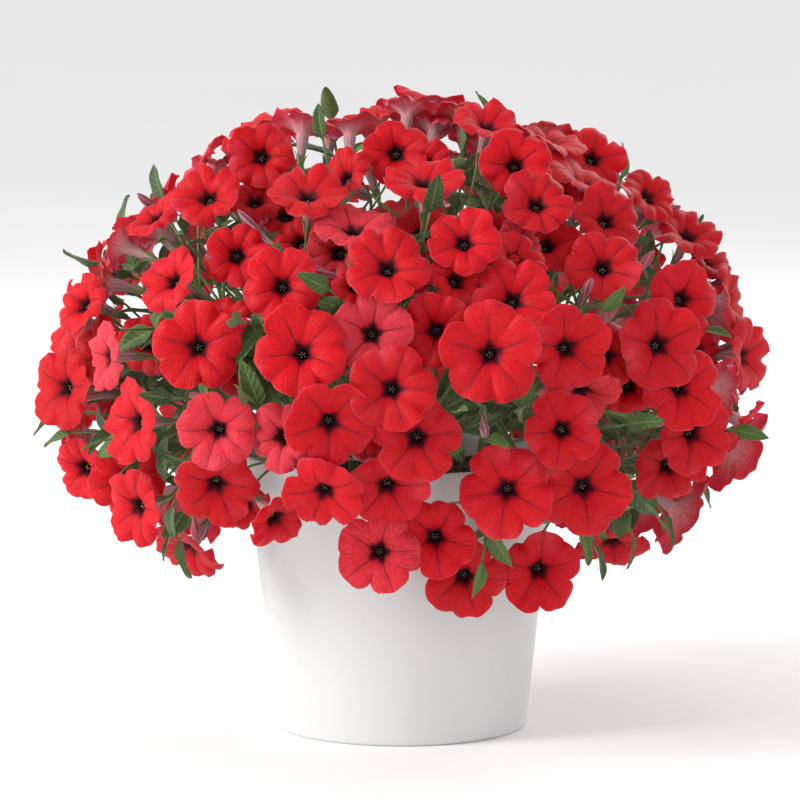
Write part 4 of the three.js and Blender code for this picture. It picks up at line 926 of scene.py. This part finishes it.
# %% Stalk finish
def stalk_finish():
    shader = Shader("stalk_green", Sheen_Weight=0.35, Sheen_Roughness=0.4,
                    Sheen_Tint=(0.9, 1, 0.75, 1),
                    Subsurface_Weight=0.08, Subsurface_Radius=(0.001, 0.003, 0.0006))
    reach, tint = map(shader.data, ("reach", "tint"))
    fine = shader.noise(1500, 3)
    green = shader.mix(reach, (0.10, 0.15, 0.035), (0.045, 0.09, 0.016))
    green = shader.mix(tint * 0.5, green, (0.17, 0.29, 0.06))
    colour = shader.mix(shader.smooth(fine, 0.45, 0.75) * 0.4, green, (0.36, 0.43, 0.2))
    return shader.finish(colour, 0.5 + fine * 0.2, fine, 0.0004)


STALK = stalk_finish()


# %% [markdown]
# Pot and soil
# The pot is moulded white plastic: nearly even, a little glossy, with a faint waviness in the
# wall and fine scuffs. The soil is bark and peat, so it is dark, rough and uneven.

# %% Pot finish
def pot_finish():
    shader = Shader("pot_white", Specular_IOR_Level=0.5, Coat_Weight=0.12, Coat_Roughness=0.25)
    waves, grain = shader.noise(7, 1), shader.noise(1600)
    scuffs = shader.smooth(shader.noise(90, 6), 0.56, 0.72)
    colour = shader.mix(waves, (0.62, 0.625, 0.625), (0.66, 0.665, 0.665))
    colour = shader.mix(scuffs * 0.15, colour, (0.57, 0.57, 0.565))
    return shader.finish(colour, 0.3 + scuffs * 0.12 + grain * 0.06, waves * 0.6 + grain * 0.08,
                         0.0006)


POT = pot_finish()


# %% Soil finish
def soil_finish():
    shader = Shader("potting_soil", Specular_IOR_Level=0.3)
    tint = shader.data("tint")
    grain, fine = shader.noise(140, 5), shader.noise(900, 3)
    colour = shader.mix(grain, (0.012, 0.008, 0.005), (0.075, 0.045, 0.026))
    colour = shader.mix(shader.smooth(tint, 0.55, 0.9) * 0.6, colour, (0.16, 0.10, 0.06))
    return shader.finish(colour, 0.8 + fine * 0.15, grain + fine * 0.4, 0.0015)


SOIL = soil_finish()


# %% [markdown]
# Building a mesh from rings
# Everything on this plant is a skin through rings of points: a bloom from its throat over the
# rim to its tube, a leaf from foot to tip, a stalk from end to end. Rings can have different
# numbers of points, which lets a fine rim run down to a coarse tube. Blender's own modifiers
# could do one piece at a time, but rings make thousands of them in one pass.

# %% Rings, skins and pieces
def ring_faces(counts):
    """Triangles through rings of points, with flat ends where an end ring isn't a tip"""
    faces, start = [], 0
    for here, after in zip(counts, counts[1:]):
        i = j = 0
        while i < (here if here > 1 else 0) or j < (after if after > 1 else 0):
            if here > 1 and i < here and (after == 1 or (i + 1) / here <= (j + 1) / after):
                faces.append((start + i % here, start + (i + 1) % here, start + here + j % after))
                i += 1
            else:
                faces.append((start + i % here, start + here + (j + 1) % after,
                              start + here + j % after))
                j += 1
        start += here
    faces += [(0, k + 1, k) for k in range(1, counts[0] - 1)]
    faces += [(start, start + k, start + k + 1) for k in range(1, counts[-1] - 1)]
    return np.array(faces)


def outward(points, faces):
    a, b, c = (points[faces[:, k]] for k in range(3))
    return faces if (a * np.cross(b, c)).sum() > 0 else faces[:, ::-1]


class Skins:
    """Skins that end up in one piece, with the numbers that its finish reads"""
    def __init__(self, names):
        self.names = names
        self.points, self.faces = [], []
        self.data = {name: [] for name in names}
        self.count = 0

    def add(self, points, faces, **data):
        faces = outward(points, faces)
        self.points.append(points)
        self.faces.append(faces + self.count)
        for name in self.names:
            self.data[name].append(np.broadcast_to(data.get(name, 0.0), len(points)))
        self.count += len(points)

    def piece(self, name, material, slot, *nodes):
        mesh = bpy.data.meshes.new(name)
        points, faces = np.concatenate(self.points), np.concatenate(self.faces)
        mesh.vertices.add(len(points))
        mesh.vertices.foreach_set("co", (points * MM).astype(np.float32).ravel())
        mesh.loops.add(faces.size)
        mesh.loops.foreach_set("vertex_index", faces.astype(np.int32).ravel())
        mesh.polygons.add(len(faces))
        mesh.polygons.foreach_set("loop_start", np.arange(0, faces.size, 3, dtype=np.int32))
        mesh.update(calc_edges=True)
        mesh.shade_smooth()
        for key in self.names:
            values = np.concatenate(self.data[key]).astype(np.float32)
            mesh.attributes.new(key, "FLOAT", "POINT").data.foreach_set("value", values)
        return dressed(mesh, name, material, slot, *nodes)


def dressed(mesh, name, material, slot, *nodes):
    mesh.materials.append(material)
    piece = bpy.data.objects.new(name, mesh)
    scene.collection.objects.link(piece)
    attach(piece, "root")
    if nodes:
        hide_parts(*nodes)
    return piece


def frame_of(axis):
    """Two directions square to an axis and to each other"""
    lean = vector(0, 0, 1) if abs(axis[2]) < 0.8 else vector(1, 0.3, 0)
    x = squared(lean, axis)
    return x, np.cross(axis, x)


def rod(points, radii, sides):
    """The points and faces of a round rod along a path"""
    points = np.asarray(points)
    turns, rings = around(sides), []
    x = frame_of(unit(points[1] - points[0]))[0]
    for index, (point, radius) in enumerate(zip(points, radii)):
        ahead = points[min(index + 1, len(points) - 1)] - points[max(index - 1, 0)]
        axis = unit(ahead)
        x = squared(x, axis)
        rings.append(point + radius * circle(turns, x, np.cross(axis, x)))
    return np.concatenate(rings), ring_faces([sides] * len(points))


print("faces of a rod:", len(rod([vector(0, 0, 0), vector(0, 0, 9)], [1, 1], 6)[1]))


# %% [markdown]
# One bloom
# The five petals are fused into a trumpet. Its rim has five broad lobes with a small notch
# between them, each lobe has a crease down its middle, and the edge waves and rolls back a
# little. All that is a height and a radius at each point of a round grid, so one function gives
# every bloom, and its random waves make each one different. The rings go up the inside of the
# throat, out to the rim, back along the underside and down the tube, so the skin is closed.

# %% Grid of a bloom
LOBES, LOBE = 5, math.radians(72)
LOBE_TURNS = np.radians([0, 3, 8, 15, 23, 30, 36, 42, 49, 57, 64, 69])
ROUND = np.concatenate([LOBE_TURNS + math.radians(72 * lobe) for lobe in range(LOBES)])
COARSE = around(20)
OUTWARD = np.array([0, 0.09, 0.21, 0.35, 0.5, 0.64, 0.77, 0.88, 0.96, 1])
THROAT = ((-18, 1.3), (-13, 2.4), (-8.5, 3.3), (-5.5, 4.0))
TUBE = ((-8.5, 5.0), (-13, 4.1), (-19, 3.3), (-25, 2.8), (-30.5, 2.4))
MOUTH_RADIUS = 4.7
PETAL_THICK = 0.4
# The rim, as shares of the bloom's radius
RIM_REACH, NOTCH, NOTCH_VARIES, LOBE_VARIES, RIM_NICKS = 1.05, 0.17, 0.06, 0.045, 0.012
# Rises of the face: shares of the radius, then millimetres
BIG_WAVE, CURL = 0.085, 0.17
ROLL_BACK, RUFFLE, FINE_RUFFLE, CREASE, SEAM = 2.6, 1.3, 0.8, 1.6, 2.2
BLOOM_COUNTS = ([1] + [20] * len(THROAT) + [60] * (2 * len(OUTWARD)) + [20] * len(TUBE) + [1])
BLOOM_FACES = ring_faces(BLOOM_COUNTS)
ANTHERS, ANTHER_TURN, ANTHER_RADIUS, ANTHER_HALF = 5, 1.257, 0.5, 0.8
ANTHERS_OUT, ANTHERS_DEEP, ANTHER_STEP = 2.0, 6.5, 0.4
BALL_FACES = ring_faces([1, 6, 6, 1])


def lobe_fold(turns):
    """0 down the middle of a lobe, 1 at the notch between two"""
    return np.abs(np.mod(turns, LOBE) / (LOBE / 2) - 1)


def petal_shape(bloom):
    """Radius and height of the face, one row for each ring from the throat to the rim"""
    radius, wave = bloom["radius"], bloom["wave"]
    fold = lobe_fold(ROUND)
    lobe = np.floor(ROUND / LOBE + 1e-9)
    notch = NOTCH + NOTCH_VARIES * np.sin(np.round(ROUND / LOBE) % LOBES * 2.3 + wave)
    rim = radius * (RIM_REACH - notch * fold ** 4 + 0.02 * np.exp(-(fold / 0.14) ** 2)
                    - LOBE_VARIES * (0.5 + 0.5 * np.sin(lobe * 1.9 + wave))
                    + RIM_NICKS * np.sin(ROUND * 13 + wave * 4))
    share = OUTWARD[:, None]
    out = MOUTH_RADIUS + (rim - MOUTH_RADIUS) * share
    flare = CUP_SLOPE * out + 1.5 * np.sin(math.pi * share ** 0.8) - 4.4 * (1 - share) ** 4
    roll_back = -ROLL_BACK * share ** 5 * (1.1 + np.sin(lobe * 2.1 + wave * 3))
    across = np.sin(ROUND / LOBE * 2 * math.pi)
    big_wave = BIG_WAVE * radius * share ** 2.2 * across * np.cos(lobe * 2.4 + wave)
    ruffle = share ** 3.5 * (RUFFLE * np.sin(ROUND * 11 + wave * 3)
                             + FINE_RUFFLE * np.sin(ROUND * 18 + wave * 5))
    curled = np.maximum(0, np.cos(ROUND - wave * 2)) ** 3 * np.sin(wave * 7)
    curl = CURL * radius * share ** 2.5 * curled
    crease = -CREASE * np.exp(-(fold / 0.13) ** 2) * share ** 0.6 * (1.15 - 0.4 * share)
    seam = -SEAM * np.exp(-((1 - fold) / 0.22) ** 2) * share * (1.2 - 0.35 * share)
    return out, flare + roll_back + big_wave + ruffle + curl + crease + seam


def bloom_skin(bloom):
    out, height = petal_shape(bloom)
    thick = PETAL_THICK + 0.5 * (1 - OUTWARD[::-1, None]) ** 2
    radii = [np.zeros(1)] + [np.full(20, r) for _, r in THROAT] + list(out)
    heights = [np.full(1, -19.5)] + [np.full(20, h) for h, _ in THROAT] + list(height)
    radii += list(out[::-1] + 0.25) + [np.full(20, r) for _, r in TUBE] + [np.zeros(1)]
    heights += list(height[::-1] - thick) + [np.full(20, h) for h, _ in TUBE] + [np.full(1, -31)]
    turns = ([np.zeros(1)] + [COARSE] * len(THROAT) + [ROUND] * (2 * len(OUTWARD))
             + [COARSE] * len(TUBE) + [np.zeros(1)])
    inside = [-1.0] + [h / 18 for h, _ in THROAT] + list(OUTWARD)
    outside = list(OUTWARD[::-1]) + [h / 31 for h, _ in TUBE] + [-1.0]
    reach = np.concatenate([np.full(n, r) for n, r in zip(BLOOM_COUNTS, inside + outside)])
    front = np.concatenate([np.ones(sum(BLOOM_COUNTS[:len(inside)])),
                            np.zeros(sum(BLOOM_COUNTS[len(inside):]))])
    turn, radius, lift = map(np.concatenate, (turns, radii, heights))
    points = (bloom["centre"] + (radius * np.cos(turn))[:, None] * bloom["x"]
              + (radius * np.sin(turn))[:, None] * bloom["y"] + lift[:, None] * bloom["facing"])
    return points, reach, front, lobe_fold(turn), turn / (2 * math.pi)


def ball(centre, axis, radius, tall):
    ring, rise = circle(around(6), *frame_of(axis)) * radius, axis * tall
    return np.concatenate([[centre - rise], centre - rise * 0.45 + ring,
                           centre + rise * 0.45 + ring, [centre + rise]])


def add_bloom(skins, bloom, tint):
    """The trumpet, its anthers in a ring and the stigma in their middle"""
    points, reach, front, fold, turn = bloom_skin(bloom)
    skins.add(points, BLOOM_FACES, reach=reach, front=front, fold=fold, tint=tint, round=turn)
    for index in range(ANTHERS + 1):
        out = ANTHERS_OUT if index < ANTHERS else 0
        turn = index * ANTHER_TURN + bloom["wave"]
        centre = (bloom["centre"] + bloom["x"] * (out * math.cos(turn))
                  + bloom["y"] * (out * math.sin(turn))
                  + bloom["facing"] * (-ANTHERS_DEEP + ANTHER_STEP * index))
        anther = ball(centre, bloom["facing"], ANTHER_RADIUS, ANTHER_HALF)
        skins.add(anther, BALL_FACES, pollen=1, front=1)


print("faces of a bloom:", len(BLOOM_FACES) + (ANTHERS + 1) * len(BALL_FACES))


# %% [markdown]
# Stalks, sepals and buds
# Below each tube sit five narrow sepals that spread a little, on a stalk that bends down to the
# leafy stem. A bud is a slim club whose petals are wound round each other, so its radius has
# five ridges that turn as they climb.

# %% Stalk with its sepals
def bezier(start, control, end, count):
    t = np.linspace(0, 1, count)[:, None]
    return start * (1 - t) ** 2 + control * (2 * t * (1 - t)) + end * t ** 2


SEPAL_STATIONS = ((0, 0.9), (0.3, 1.35), (0.6, 1.25), (0.88, 0.7))
SEPAL_SECTION = np.array([(-1, 0), (-0.5, 0.5), (0.5, 0.5), (1, 0), (0.5, -0.5), (-0.5, -0.5)])
SEPAL_THICK, SEPAL_LONG, SEPAL_SEAT, SEPAL_SPREAD = 0.7, 12.5, 2.2, (3.2, 4.4)
SEPAL_FACES = ring_faces([len(SEPAL_SECTION)] * len(SEPAL_STATIONS) + [1])
SEPALS, STALK_RADII = 5, (1.5, 1.2, 1.05, 1.0, 1.0, 1.15, 1.5, 2.3)


def add_stalk(skins, foot, facing, hub, tint, size=1.0):
    """A stalk from its hub to a flower's foot, and five sepals round the tube"""
    start = hub_centres[hub]
    control = foot - facing * min(14, length(foot - start) * 0.4)
    line = bezier(start, control, foot + facing * 0.8, len(STALK_RADII))
    points, faces = rod(line, STALK_RADII, 7)
    skins.add(points, faces, reach=0.2, tint=tint)
    x, y = frame_of(facing)
    for index in range(SEPALS):
        turn = index * 2 * math.pi / SEPALS + tint * 7
        out = x * math.cos(turn) + y * math.sin(turn)
        aside = np.cross(facing, out)
        long = (SEPAL_LONG + 2.5 * math.sin(index * 2.3 + tint * 20)) * size
        rings, reach = [], []
        for share, half in SEPAL_STATIONS:
            spread = SEPAL_SEAT + SEPAL_SPREAD[0] * share * share
            middle = foot + facing * (long * share - 0.5) + out * spread
            wide, thick = SEPAL_SECTION[:, :1] * half, SEPAL_SECTION[:, 1:] * SEPAL_THICK
            rings.append(middle + wide * aside + thick * out)
            reach += [share] * len(SEPAL_SECTION)
        tip = foot + facing * long + out * (SEPAL_SEAT + SEPAL_SPREAD[1])
        skins.add(np.concatenate([*rings, [tip]]), SEPAL_FACES, reach=reach + [1], tint=tint)


# %% Buds
BUD_SHAPE = ((0, 1.6), (0.1, 1.9), (0.25, 2.0), (0.4, 2.2), (0.52, 2.7), (0.63, 3.3),
             (0.73, 3.5), (0.82, 3.1), (0.9, 2.2), (0.96, 1.2))
BUD_SIDES, BUD_RIDGE = 15, 0.10
BUD_FACES = ring_faces([BUD_SIDES] * len(BUD_SHAPE) + [1])


def add_bud(skins, bud, tint):
    way = bud["tip"] - bud["foot"]
    axis = unit(way)
    x, y = frame_of(axis)
    turns = around(BUD_SIDES)
    rings, furl, reach = [], [], []
    for share, radius in BUD_SHAPE:
        phase = np.cos(turns * 5 + share * 9)
        out = radius * (1 + BUD_RIDGE * phase)
        bow = x * (1.6 * math.sin(share * math.pi) * (tint - 0.5) * 2)
        rings.append(bud["foot"] + way * share + bow + out[:, None] * circle(turns, x, y))
        furl.append(0.5 + 0.5 * phase)
        reach.append(np.full(BUD_SIDES, share))
    skins.add(np.concatenate([*rings, [bud["tip"]]]), BUD_FACES, tint=tint,
              fold=np.append(np.concatenate(furl), 0.5), reach=np.append(np.concatenate(reach), 1))


print("faces of a bud:", len(BUD_FACES))


# %% Make the sprays
# The knob where a spray's stalks meet: places along its axis, and radii there
KNOB_PLACES, KNOB_RADII = (-4.3, -2, 1.5, 4), (2.6, 3.4, 3.2, 1.4)
spray_draw = make_draw(77)
total = 0
for index in range(len(hubs)):
    node = f"bloom_spray_{index + 1:02d}"
    petals = Skins(["fold", "reach", "front", "tint", "pollen", "round"])
    stalks = Skins(["reach", "tint"])
    furled = Skins(["fold", "reach", "tint"])
    centre, axis = hubs[index]["centre"], hubs[index]["axis"]
    knob = [centre + axis * place for place in KNOB_PLACES]
    stalks.add(*rod(knob, KNOB_RADII, 9), reach=0.1, tint=0.3)
    for bloom in (one for one in blooms if one["hub"] == index):
        tint = spray_draw(0, 1)
        add_bloom(petals, bloom, tint)
        add_stalk(stalks, bloom["foot"], bloom["facing"], index, tint)
    for bud in (one for one in buds if one["hub"] == index):
        tint = spray_draw(0, 1)
        add_bud(furled, bud, tint)
        add_stalk(stalks, bud["foot"], unit(bud["tip"] - bud["foot"]), index, tint, 0.8)
    pieces = [(petals, f"petals_{index + 1:02d}", PETAL, "petal"),
              (stalks, f"stalks_{index + 1:02d}", STALK, "leaf"),
              (furled, f"buds_{index + 1:02d}", BUD, "petal")]
    for skins, name, finish, slot in pieces:
        if skins.count:
            made = skins.piece(name, finish, slot, node)
            total += len(made.data.polygons)
print("faces in the sprays:", total)


# %% [markdown]
# Leaves and stems
# A leaf is a broad oval on a short foot, folded a little along its midrib, drooping to its tip
# and wavy at its edges. Each station along it is a ring: across the upper side and back along
# the lower one.

# %% One leaf
LEAF_ACROSS = np.array([-1, -0.74, -0.44, -0.12, 0.12, 0.44, 0.74, 1])
LEAF_ROUND = np.concatenate([LEAF_ACROSS, LEAF_ACROSS[-2:0:-1]])
LEAF_TOP = np.concatenate([np.ones(8), np.zeros(6)])
LEAF_ALONG = np.array([0, 0.05, 0.11, 0.18, 0.27, 0.37, 0.47, 0.57, 0.67, 0.77, 0.86, 0.93, 0.98])
LEAF_FACES = ring_faces([len(LEAF_ROUND)] * len(LEAF_ALONG) + [1])
BLADE_THICK, BLADE_WIDER, CUPPED, MIDRIB_DIP, LEAF_WAVE = 0.45, 0.54, 0.30, 0.3, 0.045


def leaf_half_width(share):
    """Half of the width as a share of the widest: a narrow foot, and widest near the middle"""
    foot = np.clip(share / 0.3, 0, 1)
    return (0.12 + 0.88 * foot * foot * (3 - 2 * foot)) * (1 - np.clip(share, 0, 1) ** 2.6) ** 0.7


def add_leaf(skins, leaf, tint):
    size = leaf["length"]
    rings, along = [], []
    for share in LEAF_ALONG:
        half = size * LEAF_WIDTH * BLADE_WIDER * leaf_half_width(share)
        a = LEAF_ROUND
        lift = (CUPPED * half * np.abs(a) ** 1.3 - MIDRIB_DIP * np.exp(-(a / 0.2) ** 2)
                + LEAF_WAVE * size * share * np.sin(share * 9 + tint * 30 + a * 1.5) * np.abs(a))
        lift = lift - (1 - LEAF_TOP) * (BLADE_THICK + 0.5 * np.exp(-(a / 0.25) ** 2) * (1 - share))
        line = (leaf["base"] + leaf["along"] * (size * share)
                + leaf["up"] * (-LEAF_DROOP * size * share * share))
        rings.append(line + (a * half)[:, None] * leaf["side"] + lift[:, None] * leaf["up"])
        along.append(np.full(len(a), share))
    tip = leaf["base"] + leaf["along"] * size + leaf["up"] * (-LEAF_DROOP * size)
    count = len(LEAF_ALONG)
    skins.add(np.concatenate([*rings, [tip]]), LEAF_FACES, tint=tint,
              along=np.append(np.concatenate(along), 1),
              across=np.append(np.tile(LEAF_ROUND, count), 0),
              front=np.append(np.tile(LEAF_TOP, count), 1))


def smooth_path(points, rounds=2):
    """Cuts the corners of a path, and again, which rounds its bends"""
    points = np.asarray(points)
    for _ in range(rounds):
        near = points[:-1] * 0.75 + points[1:] * 0.25
        far = points[:-1] * 0.25 + points[1:] * 0.75
        middle = np.stack([near, far], 1).reshape(-1, 3)[1:-1]
        points = np.concatenate([points[:1], middle, points[-1:]])
    return points


# %% Make the leafy stems
STEM_RADIUS, BRANCH_RADIUS, STEM_TAPER, SHOOT_RADIUS, SHOOT_TIP_RADIUS = 4.2, 3, 0.4, 1.4, 0.95
leaf_draw = make_draw(91)
total = 0
for stem in range(STEMS):
    skins = Skins(["along", "across", "front", "tint", "woody"])
    for index, path in enumerate(stem_paths(stem)):
        line = smooth_path(path)
        thick = STEM_RADIUS if index == 0 else BRANCH_RADIUS
        radii = thick * (1 - STEM_TAPER * np.linspace(0, 1, len(line)))
        skins.add(*rod(line, radii, 10), woody=1, tint=0.4)
    for shoot in (one for one in shoots if one["stem"] == stem):
        line = steps(shoot["seat"], shoot["tip"], 6)
        radii = np.linspace(SHOOT_RADIUS, SHOOT_TIP_RADIUS, len(line))
        skins.add(*rod(line, radii, 7), woody=1, tint=0.6)
        for leaf in shoot["leaves"]:
            add_leaf(skins, leaf, leaf_draw(0, 1))
    made = skins.piece(f"foliage_{stem + 1:02d}", LEAF, "leaf", f"leafy_stem_{stem + 1:02d}")
    total += len(made.data.polygons)
print("faces in the leafy stems:", total)


# %% [markdown]
# Pot
# The pot is a turned shape: one outline, spun round its axis. A Screw modifier would do it too,
# but the same rings that made the petals give a closed skin with rounded rim and foot at once.
# The four drain holes are cut with a Boolean modifier, whose result is kept.

# %% Spin the pot and cut its drain holes
WALL, FLOOR, FOOT_ROUND, RIM_ROUND, POT_SIDES = 3, 4, 3, 1.3, 144
DRAIN_HOLES, DRAIN_RADIUS, DRAIN_CIRCLE = 4, 5, 60


def arc(out, height, radius, start, end, count=5):
    turns = np.radians(np.linspace(start, end, count))
    return [(out + radius * math.cos(t), height + radius * math.sin(t)) for t in turns]


def pot_outline():
    outside = [(30, 0), (DRAIN_CIRCLE, 0), (90, 0)]
    outside += arc(pot_wall(3) - FOOT_ROUND, FOOT_ROUND, FOOT_ROUND, -90, 0)
    outside += [(pot_wall(h), h) for h in (10, 40, 80, 120, 160, 200, 214)]
    rim = arc(POT_RIM_RADIUS - RIM_ROUND - 0.1, POT_HEIGHT - RIM_ROUND, RIM_ROUND, 0, 180, 9)
    inside = [(pot_wall(h) - WALL, h) for h in (214, 160, 90, 30, 12)]
    inside += arc(pot_wall(FLOOR + 4) - WALL - 4, FLOOR + 4, 4, 0, -90)
    return outside + rim + inside + [(60, FLOOR), (30, FLOOR)]


def turned(outline, sides):
    turns = around(sides)
    rings = [np.stack([out * np.cos(turns), out * np.sin(turns), np.full(sides, height)], 1)
             for out, height in outline]
    low, high = vector(0, 0, outline[0][1]), vector(0, 0, outline[-1][1])
    counts = [1] + [sides] * len(outline) + [1]
    return np.concatenate([[low], *rings, [high]]), ring_faces(counts)


def cut(piece, cutters):
    """Cuts other solids out of a piece with Boolean modifiers, and keeps the result"""
    for cutter in cutters:
        modifier = piece.modifiers.new("cut", "BOOLEAN")
        modifier.object, modifier.operation, modifier.solver = cutter, "DIFFERENCE", "EXACT"
    graph = bpy.context.evaluated_depsgraph_get()
    mesh = bpy.data.meshes.new_from_object(piece.evaluated_get(graph))
    piece.modifiers.clear()
    piece.data = mesh
    for cutter in cutters:
        bpy.data.objects.remove(cutter)


pot_skin = Skins([])
pot_skin.add(*turned(pot_outline(), POT_SIDES))
pot = pot_skin.piece("plant_pot", POT, "pot", "pot")
drills = []
for index in range(DRAIN_HOLES):
    drill = Skins([])
    spot = polar(index * 2 * math.pi / DRAIN_HOLES, DRAIN_CIRCLE, 0)
    drill.add(*rod([spot + vector(0, 0, -3), spot + vector(0, 0, FLOOR + 3)],
                   [DRAIN_RADIUS] * 2, 24))
    drills.append(drill.piece(f"drill_{index}", POT, "pot"))
cut(pot, drills)
print("faces of the pot:", len(pot.data.polygons))


# %% Soil and its crumbs
CRUMBS, CRUMB_SIZES, CRUMB_LENGTHS, ROLLING, FINE_ROLLING = 700, (0.8, 2.6), (0.8, 2.0), 2.2, 0.8


def soil_height(x, y):
    rolling = ROLLING * np.sin(x / 13) * np.cos(y / 17)
    return SOIL_TOP + rolling + FINE_ROLLING * np.sin(x / 3.1 + y / 4.7) * np.sin(y / 2.9)


soil_radius = pot_wall(SOIL_TOP) - WALL - 0.4
outline = [(r, 4.3) for r in (30, 60, 90)]
outline += [(pot_wall(h) - WALL - 0.5, h) for h in (5, 60, 130, 190)]
outline += [(r, SOIL_TOP) for r in np.linspace(soil_radius, 3, 34)]
points, faces = turned(outline, 96)
top = points[:, 2] > SOIL_TOP - 1
edge = np.clip((soil_radius - np.hypot(points[:, 0], points[:, 1])) / 6, 0, 1)
raised = soil_height(points[:, 0], points[:, 1]) - SOIL_TOP + 2
points[top, 2] = (SOIL_TOP - 2 + edge * raised)[top]
soil_skin = Skins(["tint"])
soil_skin.add(points, faces, tint=0.2)
soil_draw = make_draw(5)
for _ in range(CRUMBS):
    turn, out = soil_draw(0, 2 * math.pi), soil_radius * math.sqrt(soil_draw(0.002, 0.93))
    spot = polar(turn, out, 0)
    size = soil_draw(*CRUMB_SIZES)
    spot[2] = soil_height(spot[0], spot[1]) + size * 0.3
    lie = unit(vector(soil_draw(-1, 1), soil_draw(-1, 1), soil_draw(-0.35, 0.35)))
    crumb = ball(spot, lie, size * 0.55, size * soil_draw(*CRUMB_LENGTHS))
    soil_skin.add(crumb, BALL_FACES, tint=soil_draw(0, 1))
soil = soil_skin.piece("soil_and_crumbs", SOIL, "soil", "soil")
print("faces of the soil:", len(soil.data.polygons))


# %% [markdown]
# Floor and light
# The plant was photographed in soft daylight that comes from the upper left: the pot is white on
# that side and grey on the other. A large lamp close by gives such broad, soft shade. A small
# far lamp would give the same direction with hard shadows.

# %% Floor, sky and lamps
def plane(name, half):
    mesh = bpy.data.meshes.new(name)
    mesh.from_pydata([(-half, -half, 0), (half, -half, 0), (half, half, 0), (-half, half, 0)],
                     [], [(0, 1, 2, 3)])
    made = bpy.data.objects.new(name, mesh)
    scene.collection.objects.link(made)
    return made


def floor_finish():
    shader = Shader("floor_white")
    cloud = shader.noise(1.2)
    colour = shader.mix(cloud, (0.93, 0.93, 0.93), (0.96, 0.96, 0.96))
    return shader.finish(colour, 0.75 + cloud * 0.05, cloud, 0.0002)


floor = plane("floor", 30)
floor.data.materials.append(floor_finish())
LIT_SPOT, SKY_STRENGTH = Vector((0, 0, 0.25)), 0.84


def lamp(name, place, size, watts, colour=(1, 1, 1)):
    """A round soft lamp that shines at the plant's middle"""
    light = bpy.data.lights.new(name, "AREA")
    light.shape, light.size, light.energy, light.color = "DISK", size, watts, colour
    made = bpy.data.objects.new(name, light)
    scene.collection.objects.link(made)
    made.location = place
    made.rotation_mode = "QUATERNION"
    made.rotation_quaternion = (LIT_SPOT - Vector(place)).to_track_quat("-Z", "Y")


lamp("key", (-3.1, -1.2, 1.9), 1.5, 115, (1, 0.99, 0.97))
lamp("fill", (1.2, -3.0, 1.4), 2.4, 8)
lamp("rim", (1.6, 2.4, 1.8), 1.6, 30)

world = bpy.data.worlds.new("studio")
world.use_nodes = True
world.node_tree.nodes["Background"].inputs["Color"].default_value = (1, 1, 1, 1)
world.node_tree.nodes["Background"].inputs["Strength"].default_value = SKY_STRENGTH
scene.world = world
scene.view_settings.view_transform = "Standard"
